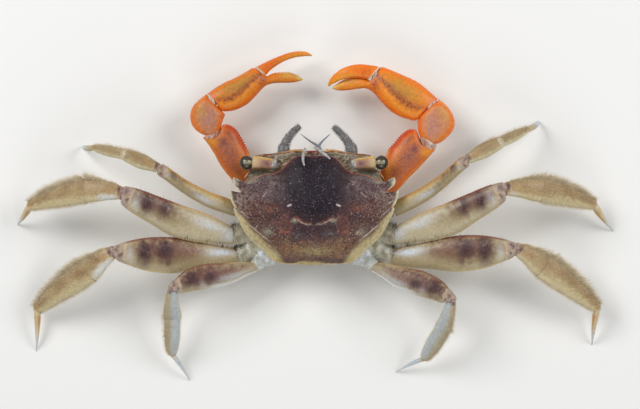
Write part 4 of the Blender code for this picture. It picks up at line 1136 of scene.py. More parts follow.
def buildLeg(sideName, side, pair):
    # Four segments from hip to floor, each cut along the plane that halves the bend at its joint.
    joints = legJoints(sideName, pair)
    sizes = legPairs[pair]
    runs = [unit(b - a) for a, b in zip(joints, joints[1:])]
    first = unit(joints[0] - limbRoot(joints[0])) + direction(legPoses[sideName, pair][1][0], 0)
    normals = [first] + [a + b for a, b in zip(runs, runs[1:])]
    for i, (kind, make) in enumerate(segmentMakes.items()):
        outline = segmentOutlines.get(kind + str(pair)) or segmentOutlines[kind]
        segment = straightSegment(joints[i], joints[i + 1], outline, sizes["widths"][i], sizes["thick"][i],
            make["bow"], make["arch"], make["square"])
        legSegments[sideName, pair, kind] = segment
        seed = 300 + 20 * pair + (side > 0) * 7
        lip = make["lip"]
        if kind == "merus":
            relief = crest(segment["length"], 0.42, 0.045, start=0.3)
            painter = meralPaint(pair, seed)
            lip = hindMerusLip if pair == 4 else lip
        else:
            relief = None
            painter = outerPaint(kind, pair, seed + 100, paintedHighlightStrips.get((sideName, pair), 0.0))
        if kind == "dactylus":
            endCut = (np.zeros(3), np.array([0, 0, -1.0]))  # flat on the floor
        else:
            endCut = cutAt(joints[i + 1], normals[i + 1], -jointGaps[i + 1])
        startCut = cutAt(joints[i], normals[i], jointGaps[i])
        shellParts = segmentShell(segment, side, painter, *make["mesh"], relief=relief, lip=lip,
            startCut=startCut, endCut=endCut)
        makePiece(f"leg{pair}_{kind}_plate_{sideName}", [shellParts], "leg",
            [f"leg{pair}_{kind}_{sideName}"])


for sideName, side in sides.items():
    for pair in legPairs:
        buildLeg(sideName, side, pair)
print("legs made")

# The claws.

claws = {
    "left": {
        "merus": {
            "outer": [(9.75, -2.5), (10.79, -4.03), (11.96, -5.46), (13.13, -7.54), (14.05, -8.9),
                (14.5, -9.44)],
            "inner": [(8.2, -3.4), (8.05, -5.0), (8.45, -7.38), (8.97, -8.32), (9.62, -9.49),
                (10.4, -10.62), (11.18, -11.05), (11.83, -11.12)],
            "heights": [(0, 3.6), (1, 4.6)], "thick": [(0, 1.9), (0.3, 2.5), (0.7, 2.6), (1, 2.1)]},
        "carpus": {
            "outer": [(13.75, -9.55), (14.25, -9.72), (15.08, -10.14), (15.86, -11.05), (16.12, -12.22),
                (15.73, -13.52), (14.82, -14.43), (14.02, -15.1)],
            "inner": [(13.3, -9.65), (12.65, -9.98), (12.26, -10.45), (11.96, -11.31), (11.72, -12.05),
                (11.57, -12.38), (11.9, -12.8), (12.35, -13.26), (12.9, -13.8), (13.6, -14.6)],
            "heights": [(0, 4.6), (1, 4.7)],
            "thick": [(0, 1.5), (0.2, 2.4), (0.55, 2.6), (0.85, 2.4), (1, 1.6)]},
        "palm": {
            "outer": [(13.91, -15.08), (12.87, -15.86), (11.57, -16.64), (10.27, -17.22), (8.97, -17.94),
                (7.75, -18.5), (7.2, -18.25), (6.6, -17.72), (6.12, -17.5), (5.72, -17.68),
                (4.94, -17.86), (4.03, -17.95), (3.12, -17.94), (2.34, -17.66), (1.3, -17.06)],
            "inner": [(12.45, -13.35), (12.0, -12.9), (10.92, -12.87), (9.62, -13.26), (8.58, -13.91),
                (7.54, -14.95), (6.76, -15.8), (6.11, -16.28), (5.46, -16.48), (4.42, -16.58),
                (3.12, -16.62), (2.3, -16.72), (1.3, -17.0)],
            "heights": [(0, 4.7), (0.5, 4.2), (1, 3.3)],
            "thick": [(0, 1.7), (0.1, 2.3), (0.3, 2.5), (0.5, 2.15), (0.62, 1.6), (0.75, 1.3),
                (0.9, 0.95), (1, 0.5)]},
        "finger": {
            "outer": [(7.72, -18.56), (6.76, -19.05), (5.72, -19.57), (4.42, -20.12), (3.12, -20.56),
                (1.82, -20.73), (0.75, -20.58), (0.15, -20.15)],
            "inner": [(6.4, -17.48), (6.02, -17.86), (5.72, -18.18), (5.1, -18.68), (4.42, -19.11),
                (3.12, -19.72), (1.82, -20.02), (0.78, -20.11), (0.18, -20.09)],
            "heights": [(0, 4.1), (1, 3.2)],
            "thick": [(0, 1.4), (0.12, 1.5), (0.5, 1.1), (0.8, 0.8), (1, 0.4)]}},
    "right": {
        "merus": {
            "outer": [(10.1, -1.9), (11.18, -2.86), (12.48, -4.29), (13.78, -5.59), (15.08, -7.02),
                (15.86, -7.93)],
            "inner": [(8.4, -3.6), (8.7, -5.2), (9.36, -6.89), (9.75, -7.8), (10.53, -8.71),
                (11.44, -9.75), (12.35, -10.38), (13.26, -10.47)],
            "heights": [(0, 3.6), (1, 4.6)], "thick": [(0, 2.1), (0.3, 2.8), (0.7, 2.9), (1, 2.3)]},
        "carpus": {
            "outer": [(15.7, -8.5), (16.45, -8.78), (17.29, -9.45), (18.07, -10.35), (18.33, -11.44),
                (17.94, -12.61), (17.29, -13.52), (16.24, -14.42)],
            "inner": [(15.1, -8.6), (14.5, -8.95), (13.85, -9.5), (13.54, -10.4), (13.48, -11.31),
                (13.65, -12.09), (14.2, -12.75), (14.69, -13.26), (15.2, -13.7), (15.7, -14.1)],
            "heights": [(0, 4.6), (1, 4.7)],
            "thick": [(0, 1.7), (0.2, 2.7), (0.55, 2.9), (0.85, 2.7), (1, 1.8)]},
        "palm": {
            "outer": [(16.12, -14.43), (14.82, -15.6), (13.52, -16.64), (12.22, -17.29), (10.92, -17.85),
                (9.62, -18.4), (8.75, -18.6), (8.3, -18.22), (7.75, -17.52), (7.25, -16.98),
                (6.75, -17.05), (6.1, -17.28), (5.4, -17.4), (4.75, -17.34), (4.2, -17.14),
                (3.42, -16.78), (2.73, -16.3), (2.21, -15.95)],
            "inner": [(13.75, -12.1), (13.3, -11.68), (12.22, -11.83), (10.92, -12.29), (9.88, -13.0),
                (8.97, -13.91), (8.19, -14.82), (7.41, -15.55), (6.76, -15.84), (5.72, -15.8),
                (4.42, -15.62), (3.12, -15.62), (2.21, -15.88)],
            "heights": [(0, 4.7), (0.5, 4.2), (1, 3.3)],
            "thick": [(0, 1.9), (0.1, 2.6), (0.3, 2.8), (0.5, 2.3), (0.62, 1.7), (0.75, 1.35),
                (0.9, 0.95), (1, 0.5)]},
        "finger": {
            "outer": [(8.66, -18.62), (7.28, -18.87), (5.98, -18.98), (4.68, -18.8), (3.38, -18.27),
                (2.4, -17.47), (1.88, -16.68), (1.76, -16.22)],
            "inner": [(7.15, -16.98), (6.6, -17.06), (6.0, -17.14), (5.4, -17.2), (4.75, -17.18),
                (4.2, -17.1), (3.4, -16.9), (2.6, -16.52), (1.84, -16.1)],
            "heights": [(0, 4.4), (0.5, 4.5), (1, 3.4)],
            "thick": [(0, 1.4), (0.12, 1.5), (0.5, 1.2), (0.8, 0.85), (1, 0.4)]}},
}
clawMakes = {  # rows, rounding of each end's rim, and how far each end's middle is drawn in, in mm
    "merus": (140, (0.1, 0.22), (0, 1.0)),
    "carpus": (100, (0.3, 0.09), (0, 0.35)),
    "palm": (230, (0.09, 0.4), (0.25, 0)),
    "finger": (120, (0.09, 0.18), (0, 0)),
}
# The dark line down the palm, along and across it in mm, and for each claw how bright it is painted and
# how far the line lies to one side.
palmStripe = [(7.7, 0.95), (7.0, 0.3), (6.0, 0.08), (4.9, -0.12), (3.8, -0.38), (2.6, -0.55), (1.5, -0.42),
    (0.7, -0.05)]
clawLooks = {"left": (1.02, -0.16), "right": (1.18, 0.1)}


def clawPaint(kind, seed, glow, shift):
    # Orange at the edges and on the fingers, golden and pinkish faces, and a dark stippled line curving
    # down the palm from the finger to the wrist.
    def paint(share, x, z, grid):
        fine, drift, grit = noises(grid, seed, 0.6, 2.0, 0.28)
        above = ramp(-0.2, 0.4, z)
        dots = 0.22 * above * np.ones_like(share)
        c = coat(grid, (216, 122, 30))
        c = layered(c, edge=((228, 108, 14), ramp(0.5, 0.98, np.abs(x)) * (0.8 + 0.2 * fine)))
        if kind == "palm":
            u, v = share * 13.8, x * 2.1 + 0.12 * fine + shift
            hand = fall(6.2, 7.2, u)
            c = layered(c,
                olive=((184, 126, 46),
                    hand * spot(u, v, (4.0, 0.75), (2.9, 0.95)) * (0.95 + 0.15 * drift)),
                oliveDeep=((168, 122, 50),
                    hand * spot(u, v, (4.2, 0.45), (1.8, 0.45)) * (0.6 + 0.3 * fine)),
                innerFace=((198, 120, 36), hand * spot(u, v, (3.4, -1.1), (2.2, 0.35)) * 0.7),
            )
            soft = strokeCover(u, v - 0.22, palmStripe, [0.3, 0.5, 0.6, 0.75, 0.85, 0.85, 0.75, 0.4], 0.5)
            line = strokeCover(u, v, palmStripe, [0.2, 0.4, 0.5, 0.5, 0.5, 0.45, 0.35, 0.2], 0.3)
            c = layered(c,
                stripeHalo=((146, 84, 54), soft * 0.66 * (0.85 + 0.25 * grit + 0.1 * fine) * above),
                stripe=((92, 40, 40), line * (0.52 + 0.25 * grit) * above),
            )
            pale = strokeCover(u, v + 0.8, palmStripe, [0.1, 0.2, 0.3, 0.35, 0.4, 0.4, 0.3, 0.1], 0.3)
            c = layered(c, stripeLight=((226, 150, 52), pale * 0.5 * above))
            dots = np.maximum(dots, soft * above)
            c = layered(c, wrist=((206, 112, 66),
                ramp(0.0, 0.3, v + 1.2) * fall(0.3, 0.9, u) * above * 0.7))
            base = spot(u, v, (7.9, -0.3), (0.85, 1.4))
            c = layered(c, fingerRoot=((146, 62, 38), base * (0.75 + 0.25 * grit)))
            dots = np.maximum(dots, base * 0.8)
            c = layered(c,
                fixedFinger=((206, 118, 30), ramp(8.6, 9.6, u) * 0.8),
                fixedFace=((198, 150, 58), ramp(9.6, 11.5, u) * bell(x, 0.35, 0.55) * 0.7),
                fixedTip=((206, 178, 96), ramp(12.3, 13.6, u) * 0.85),
                cuttingEdge=((206, 196, 150), spot(u, x, (11.4, 0.95), (0.9, 0.22)) * 0.7),
            )
            grains = fall(-0.95, -0.8, x) * ramp(3.5, 4.5, u) * fall(7.5, 8.5, u)
            c = layered(c, grains=((170, 66, 30), grains * 0.5 * (0.6 + 0.4 * grit)))
        if kind == "carpus":
            face = np.exp(-(((share - 0.5) / 0.4) ** 2 + (x / 0.72) ** 2) ** 2)
            c = layered(c,
                face=((184, 122, 86), face * (0.95 + 0.08 * fine) * above),
                pink=((170, 120, 104),
                    spot(share, x, (0.42, -0.15), (0.28, 0.5)) * (0.85 + 0.25 * grit) * above),
                gold=((186, 136, 62), spot(share, x, (0.66, 0.42), (0.16, 0.3)) * 0.75 * above),
                edgeAtPalm=((214, 96, 34), ramp(0.8, 0.92, share) * fall(0.3, 0.8, x) * 0.7),
                hinge=((206, 120, 84), fall(0.04, 0.14, share) * 0.7),
                seamDots=((84, 34, 36), beads(x, 0.34, 8) * bell(share, 0.1, 0.018) * above * 0.8),
            )
            dots = np.maximum(dots, face * 0.55 * above)
        if kind == "merus":
            c = layered(c,
                ground=((194, 98, 36), 0.75 + 0.3 * drift),
                goldSpot=((216, 136, 44),
                    spot(share, x, (0.3, -0.45), (0.2, 0.22)) * (0.7 + 0.3 * fine)),
            )
            patch = spot(share, x, (0.62, 0.12), (0.32, 0.6))
            c = layered(c,
                patch=((134, 88, 80), patch * (0.8 + 0.25 * grit) * above),
                dark=((92, 58, 70), spot(share, x, (0.78, 0.05), (0.07, 0.25)) * 0.65 * above),
                brown=((150, 84, 48), spot(share, x, (0.34, 0.15), (0.26, 0.5)) * 0.6 * above),
                end=((212, 140, 48), spot(share, x, (0.88, 0.7), (0.1, 0.34)) * 0.9),
                outer=((206, 112, 34), ramp(0.72, 0.92, x) * fall(0.7, 0.85, share) * 0.8),
                crest=((186, 62, 28),
                    fall(-0.94, -0.62, x) * ramp(0.35, 0.5, share) * (0.85 + 0.15 * grit)),
                shade=((112, 56, 46), spot(share, x, (0.8, -0.55), (0.14, 0.16)) * 0.7 * above),
                crestStart=((214, 132, 40),
                    fall(-0.96, -0.82, x) * ramp(0.3, 0.36, share) * fall(0.44, 0.55, share) * 0.8),
                rim=((206, 130, 84), ramp(0.93, 0.99, share) * 0.6),
            )
            dots = np.maximum(dots, (patch + spot(share, x, (0.35, 0.1), (0.35, 0.6)) * 0.8) * above)
        if kind == "finger":
            c = layered(c,
                red=((212, 84, 24), spot(share, x, (0.22, 0.0), (0.22, 0.7)) * (0.75 + 0.2 * grit)),
                tip=((226, 134, 36), ramp(0.45, 0.8, share) * 0.75),
                yellow=((214, 168, 60), spot(x, share, (-0.55, 0.65), (0.3, 0.3)) * 0.5),
                point=((200, 162, 62), ramp(0.88, 1.0, share) * 0.85),
                rootRim=((206, 190, 170), fall(0.012, 0.045, share) * 0.9),
            )
            dots = np.maximum(dots, spot(share, x, (0.2, 0.0), (0.2, 0.8)) * 0.45 * above)
        c = layered(c, underside=((216, 160, 92), fall(-0.8, -0.2, z) * 0.5))
        return stippled(c * glow, dots)

    return paint


def clawRelief(sideName, kind):
    # Saw-like granules along the inner crest of the merus and under the palm, small teeth on the cutting
    # edges.
    def relief(share, x, z):
        narrow = bell(z, 0.1, 0.25)
        if kind == "merus":
            crest = 0.17 * ramp(0.82, 0.96, -x) * ramp(0.38, 0.46, share)
            return crest * beads(share * 9.0, 0.36, 1.2) * narrow
        if kind == "palm":
            teeth = ramp(0.8, 0.95, x) * ramp(0.66, 0.7, share) * fall(0.84, 0.88, share)
            grains = ramp(0.85, 0.97, -x) * ramp(0.25, 0.35, share) * fall(0.5, 0.58, share)
            toothed = 0.09 * teeth * beads(share * 14.0, 0.42, 1.5)
            return (toothed + 0.08 * grains * beads(share * 14.0, 0.34, 1.5)) * narrow
        if kind == "finger" and sideName == "right":
            teeth = ramp(0.8, 0.95, -x) * ramp(0.45, 0.5, share) * fall(0.85, 0.9, share)
            return 0.05 * teeth * beads(share * 8.0, 0.5, 1.5)
        return 0 * share

    return relief


clawSegments = {}


def buildClaw(sideName, side):
    # Four segments between the drawn edges of this side's claw.
    for kind, (rows, lip, dent) in clawMakes.items():
        d = claws[sideName][kind]
        segment = edgedSegment(d["outer"], d["inner"], d["heights"], d["thick"], 2.25)
        clawSegments[sideName, kind] = segment
        painter = clawPaint(kind, 80 + 9 * (side > 0), *clawLooks[sideName])
        parts = segmentShell(segment, side, painter, rows, 88, relief=clawRelief(sideName, kind), lip=lip,
            dent=dent)
        makePiece(f"claw_{kind}_plate_{sideName}", [parts], "horn", [f"claw_{kind}_{sideName}"])


for sideName, side in sides.items():
    buildClaw(sideName, side)
print("claws made")

# Eyes, mouthparts and feelers.

head = {
    "stalk": ((4.75, -5.92, 7.35), (8.0, -6.18, 7.4)),
    "stalkOutline": [(0.0, 0.4, -0.45, 0.9), (0.12, 0.6, -0.62, 1.25), (0.25, 0.68, -0.69, 1.4),
        (0.55, 0.66, -0.74, 1.5), (0.8, 0.74, -0.82, 1.45), (0.94, 0.8, -0.8, 1.4),
        (1.0, 0.72, -0.7, 1.3)],
    "cornea": (8.7, -6.12, 7.4),
    "corneaRadii": (0.9, 0.92, 0.84),
    "maxilliped": ((1.75, -6.15, 1.95), (2.55, -7.4, 4.35)),
    "maxillipedOutline": [(0.0, 0.75, -0.75, 0.6), (0.1, 1.1, -1.05, 0.7), (0.45, 1.25, -1.2, 0.75),
        (0.55, 1.15, -1.1, 0.75), (0.85, 1.35, -1.15, 0.75), (1.0, 0.95, -0.9, 0.65)],
    "palps": {
        "left": [(4.05, -7.05, 5.3), (3.98, -7.76, 5.2), (3.7, -8.73, 5.0), (3.05, -9.81, 4.85),
            (2.3, -10.57, 4.7), (1.8, -11.0, 4.55)],
        "right": [(4.95, -7.05, 5.3), (4.9, -7.8, 5.2), (4.55, -8.6, 5.05), (4.05, -9.35, 4.9),
            (3.35, -10.12, 4.75), (2.45, -10.9, 4.55)]},
    "palpWidths": [1.4, 1.55, 1.15, 1.0, 0.88, 0.62],
    "antennules": {
        "left": [(-0.95, -7.6, 6.5), (-0.55, -8.25, 6.85), (0.34, -8.8, 7.0), (1.05, -9.3, 7.0),
            (1.75, -9.85, 6.8)],
        "right": [(0.45, -7.6, 6.4), (0.62, -8.25, 6.45), (0.95, -8.75, 6.5), (1.5, -9.3, 6.5),
            (2.1, -9.85, 6.4)]},
    "antennae": {"left": [(1.15, -7.95, 7.0), (1.28, -7.45, 8.35), (1.4, -6.4, 9.25), (1.22, -5.7, 9.8)],
        "right": [(0.1, -8.15, 7.3), (0.7, -7.7, 8.1), (1.4, -7.15, 8.9), (2.1, -6.55, 9.7)]},
}


def stalkPaint(share, x, z, grid):
    # Pinkish tan with a cream outer end, a purple-grey band, a bluish root, and a yellow front and a tan
    # hind edge.
    fine, grit = cloud(grid, 0.5, 101, 40), cloud(grid, 0.25, 102, 40)
    c = coat(grid, (164, 122, 98))
    c = layered(c,
        outerEnd=((206, 184, 140), ramp(0.55, 0.9, share) * 0.7),
        band=((104, 74, 86), spot(share + 0.02 * fine, x, (0.4, 0.1), (0.15, 0.5)) * 0.85),
        root=((126, 132, 146), fall(0.1, 0.28, share) * 0.9),
        rootGrain=((206, 196, 160), fall(0.12, 0.26, share) * (0.25 + 0.5 * grit)),
        front=((206, 162, 84), fall(-0.92, -0.45, x) * ramp(0.12, 0.25, share)),
        frontRim=((214, 196, 138), fall(-0.99, -0.85, x) * ramp(0.25, 0.5, share) * 0.8),
        rear=((190, 150, 112), ramp(0.7, 0.95, x) * ramp(0.2, 0.4, share) * 0.9),
        fleck=((206, 200, 196), spot(share, x, (0.2, 0.1), (0.05, 0.5)) * ramp(0.2, 0.9, grit) * 0.9),
    )
    return stippled(c, 0.25 + 0 * share)


def corneaShell(side):
    # An ovoid: dark glassy olive round the rim, and the pale end of the stalk showing as a finger through
    # its middle.
    u, v = np.meshgrid(np.linspace(0.02, math.pi - 0.02, 60), 2 * np.pi * np.arange(80) / 80, indexing="ij")
    local = np.stack([-np.cos(u), np.sin(u) * np.cos(v), np.sin(u) * np.sin(v)], -1)
    grid = local * head["corneaRadii"] + head["cornea"]
    lx, ly = local[..., 0], local[..., 1]
    out = np.hypot(lx, ly)
    c = coat(grid, (84, 76, 58))
    c = layered(c,
        ring=((30, 26, 18), bell(out, 0.8, 0.17) * 0.95),
        rim=((124, 120, 104), ramp(0.93, 0.985, out) * 0.8),
    )
    core = fall(0.17, 0.34, np.abs(ly + 0.04)) * fall(0.3, 0.6, lx)
    c = layered(c,
        coreShade=((34, 30, 22), fall(0.34, 0.56, np.abs(ly)) * fall(0.5, 0.8, lx) * (1 - core) * 0.6),
        core=((140, 130, 104), core),
    )
    return closedShell(grid, c, side)


def plainPaint(base, second, size, seed, stipple=0.0):
    # Two tones mixed by a cloud of one size.
    def paint(share, x, z, grid):
        c = coat(grid, base)
        return stippled(lay(c, second, 0.5 + 0.5 * cloud(grid, size, seed, 30)), stipple + 0 * share)

    return paint


feelers = [  # tones of the two ends; rows, columns, joints and flatness
    {"piece": "palp_", "node": "maxilliped_palp_", "path": "palps", "widths": head["palpWidths"],
     "ends": ((98, 98, 100), (80, 78, 78)), "mesh": (110, 28, 3, 0.8)},
    {"piece": "inner_feeler_", "node": "antennule_", "path": "antennules",
     "widths": [0.46, 0.38, 0.26, 0.18, 0.08], "ends": ((132, 146, 146), (96, 104, 130)),
     "mesh": (60, 12, 14)},
    {"piece": "outer_feeler_", "node": "antenna_", "path": "antennae", "widths": [0.36, 0.44, 0.4, 0.18],
     "ends": ((176, 168, 156), (190, 194, 202)), "mesh": (80, 12, 9)},
]

for sideName, side in sides.items():
    stalk = straightSegment(*head["stalk"], head["stalkOutline"])
    skin = segmentShell(stalk, side, stalkPaint, 70, 44, lip=0.25)
    makePiece(f"eyestalk_skin_{sideName}", [skin], "leg", [f"eyestalk_{sideName}"])
    makePiece(f"cornea_{sideName}", [corneaShell(side)], "cornea", [f"eye_{sideName}"])
    plate = straightSegment(*head["maxilliped"], head["maxillipedOutline"])
    painter = plainPaint((166, 148, 116), (140, 118, 92), 1.0, 104, 0.2)
    makePiece(f"maxilliped_plate_{sideName}", [segmentShell(plate, side, painter, 50, 36)],
        "belly", [f"maxilliped_{sideName}"])
    for d in feelers:
        feeler = feelerShell(head[d["path"]][sideName], d["widths"], side, d["ends"], *d["mesh"])
        makePiece(d["piece"] + sideName, [feeler], "skin", [d["node"] + sideName])
print("head made")

# The tail flap.

flap = {
    "path": [(0, 6.25, 4.8), (0, 6.78, 4.2), (0, 6.78, 3.0), (0, 5.9, 1.7), (0, 4.2, 1.22), (0, 1.6, 1.22),
        (0, -0.6, 1.22), (0, -1.6, 1.22)],
    "halfWidths": [2.7, 2.6, 2.45, 2.2, 1.8, 1.25, 0.85, 0.35],
    "thickness": 0.7, "plates": 7,
}


def buildFlap():
    # Flat ovals square to a hooked path, with a step at the end of each plate.
    s = np.linspace(0, 1, 140)
    path = curveThrough(np.array(flap["path"], float), s)
    along = unitRows(np.gradient(path, axis=0))
    outwards = np.cross(along, [1.0, 0, 0])
    half = smoothThrough(np.linspace(0, 1, len(flap["halfWidths"])), flap["halfWidths"], s)
    step = (s * flap["plates"]) % 1
    lift = 1 + 0.16 * step - 0.4 * bell(step, 1, 0.05)
    turn = 2 * np.pi * np.arange(56) / 56
    grid = (path[:, None] + np.array([1.0, 0, 0]) * (half[:, None] * np.cos(turn))[..., None]
        + outwards[:, None] * (flap["thickness"] / 2 * lift[:, None] * np.sign(np.sin(turn))
            * np.abs(np.sin(turn)) ** 0.7)[..., None])
    c = coat(grid, (184, 170, 136))
    c = layered(c,
        mottle=((154, 136, 104), 0.4 + 0.4 * cloud(grid, 0.9, 110)),
        plateEdge=((212, 202, 172), bell(step, 0.82, 0.1)[:, None] * 0.7 + 0 * grid[..., 0]),
        seam=((104, 82, 62), bell(step, 1, 0.07)[:, None] * 0.9 + 0 * grid[..., 0]),
    )
    return closedShell(grid, c)


makePiece("tail_flap", [buildFlap()], "belly", ["pleon"])
print("tail flap made")

# Bases of the limbs and the skin at the joints.

limbBases = {  # for each pair and the claw: width and thickness of the coxa, and its two tones
    1: ((2.2, 1.7), ((190, 182, 152), (150, 138, 108))),
    2: ((3.5, 2.0), ((204, 198, 174), (148, 136, 108))),
    3: ((3.7, 2.0), ((214, 212, 198), (162, 154, 128))),
    4: ((3.1, 1.5), ((228, 232, 232), (200, 204, 200))),
    "claw": ((2.4, 2.3), ((176, 122, 78), (150, 88, 52))),
}
clawHips = {"left": (9.1, -3.1, 3.6), "right": (9.3, -3.0, 3.6)}


def buildBases():
    # For each limb a round coxa at the body and a short ischium out to the hip.
    shells = []
    for sideName, side in sides.items():
        for pair, ((width, thick), tones) in limbBases.items():
            hip = np.array(clawHips[sideName] if pair == "claw" else legPoses[sideName, pair][0], float)
            root = limbRoot(hip)
            end = 0.34
            if pair != "claw":  # narrows to the width of the merus
                merus = legSegments[sideName, pair, "merus"]["body"]
                end = 1.08 * np.linalg.norm(merus(np.array([0.0]))[1]) / width
            stations = [(0.0, 0.5, -0.5, 0.95), (0.35, 0.52, -0.52, 1.05),
                (0.6, 0.32 + end / 2, -0.32 - end / 2, 1.0),
                (0.7, 0.22 + end / 2, -0.22 - end / 2, 0.9), (0.82, 0.08 + end, -0.08 - end, 0.92),
                (1.0, end, -end, 0.88)]
            segment = straightSegment(root, hip, stations, width, thick, square=2.0)
            shells.append(segmentShell(segment, side, plainPaint(*tones, 1.1, 107, 0.5), 60, 36,
                endCut=cutAt(hip, hip - root, -0.02)))
    return shells


makePiece("limb_bases", buildBases(), "belly")


# At the hip and after the merus, carpus and propodus: shares of the segment's width and thickness, and
# two tones.
legSkins = [
    (0.26, 0.36, ((204, 196, 172), (180, 168, 142))),
    (0.27, 0.36, ((168, 146, 138), (120, 90, 92))),
    (0.5, 0.5, ((190, 172, 132), (168, 146, 108))),
    (0.16, 0.24, ((196, 184, 150), (168, 146, 110))),
]
clawSkin, hingeSkin = ((208, 196, 180), (166, 118, 100)), ((206, 202, 196), (170, 150, 140))


def sleeve(middle, along, half, rise, reach, side, tones, folds=7):
    # A swelling with fine folds across it: an oval drawn along the limb, full in the middle and closed at
    # both ends.
    s = np.linspace(0.01, 0.99, 40)[:, None]
    turn = 2 * np.pi * np.arange(36)[None, :] / 36
    along = unit(along)
    left = unit(np.cross([0, 0, 1.0], along))
    up = np.cross(along, left)
    places = [folds * s + 0 * turn, 1.6 * np.cos(turn) + 0 * s, 1.6 * np.sin(turn) + 0 * s]
    creases = cloud(np.stack(places, -1), 1.9, 108)
    swell = np.sin(np.pi * s) ** 0.5 * (1 + 0.035 * creases)
    grid = (middle + along * ((s - 0.5) * 2 * reach)[..., None]
        + left * (half * swell * np.cos(turn))[..., None]
        + up * (rise * swell * np.sin(turn))[..., None])
    c = coat(grid, tones[0])
    # the darker tone varies at random and gathers in the fold valleys as painted shade
    c = lay(c, tones[1], 0.3 + 0.4 * cloud(grid, 0.35, 109, 40) - 0.35 * creases)
    return closedShell(grid, stippled(c, 0.8 + 0 * swell), side)


def buildJointSkin():
    # Pale folded skin in every gap between the plates.
    shells = []
    for sideName, side in sides.items():
        for pair in legPairs:
            joints = legJoints(sideName, pair)
            sizes = legPairs[pair]
            for n, (across, rise, tones) in enumerate(legSkins):
                before = unit(joints[n] - (joints[n - 1] if n else limbRoot(joints[0])))
                along = before + unit(joints[n + 1] - joints[n])
                wide = sizes["widths"][n] if n < 2 else sizes["widths"][n - 1]
                thick = sizes["thick"][max(n - 1, 0)]
                if n == 2:  # flush between carpus and propodus
                    half, up = legSegments[sideName, pair, "propodus"]["body"](np.array([0.0]))[1:]
                    wide, thick = 2 * np.linalg.norm(half), 2 * np.linalg.norm(up)
                shells.append(sleeve(joints[n], along, wide * across, thick * rise, 0.5, side, tones))
        parts = {kind: clawSegments[sideName, kind]["body"]
            for kind in ("merus", "carpus", "palm", "finger")}

        def at(kind, share):
            return parts[kind](np.array([share]))[0][0]

        size = 1.0 if side > 0 else 1.12
        elbow = (at("merus", 0.97) + at("carpus", 0.06)) / 2
        outwards = unit(parts["palm"](np.array([0.0]))[1][0])
        wrist = (at("carpus", 0.95) + at("palm", 0.02)) / 2 - outwards * 0.16
        knuckle = at("finger", 0.0)
        for middle, along, half, rise, reach, folds in (
                (elbow, at("carpus", 0.3) - at("merus", 0.8), 1.22, 0.98, 0.85, 9),
                (wrist, at("palm", 0.2) - wrist, 1.04, 0.86, 0.7, 9),
                (knuckle, at("finger", 0.1) - knuckle, 0.86, 0.66, 0.34, 5)):
            shells.append(sleeve(middle, along, half * size, rise * size, reach * size, side,
                clawSkin, folds))
        hinge = knuckle + np.array([-0.55, 0.72, 0.35]) * size
        shells.append(sleeve(hinge, np.array([1.0, 0.4, 0]), 0.2, 0.22, 0.24, side, hingeSkin, 2))
    return shells


makePiece("joint_skin", buildJointSkin(), "skin")
print("joints made")

# Hair, as closed three-sided spikes.

# length and thickness in mm, tones, share of the first tone, and how many to a square or running
# millimetre
hair = {
    "felt": {"length": 0.26, "edgeLength": 0.72, "thick": 0.024,
        "tones": [(196, 172, 130), (238, 226, 196)], "first": 0.3,
        "perArea": 104, "dense": {1: 0.35, 2: 1.0, 3: 1.0, 4: 0.5}},
    "setae": {"length": 1.05, "thick": 0.042, "tones": [(186, 184, 178), (222, 224, 228)], "first": 0.3,
        "perMm": 1.1},
    "bristles": {"length": 0.74, "thick": 0.06, "tones": [(70, 50, 34), (112, 84, 56)], "first": 0.6,
        "perMm": 3.0},
    # the tuft at each hip: how many hairs, and the share of dark ones
    "tuft": {"length": 0.8, "thick": 0.035, "tones": [(52, 42, 34), (220, 216, 204)],
        "counts": {1: (120, 0.3), 2: (380, 0.5), 3: (380, 0.45), 4: (140, 0.1)}},
    "fringe": {"length": 0.34, "thick": 0.035, "tones": [(186, 186, 188), (238, 238, 240)], "first": 0.3,
        "count": 900},
    "face": {"length": 0.36, "thick": 0.035, "tones": [(172, 156, 132), (226, 220, 206)], "first": 0.4,
        "count": 420},
}
unwrap = {"tiles": 8, "margin": 0.04, "width": 0.9, "hair": 0.003}  # tiles across; the rest as shares


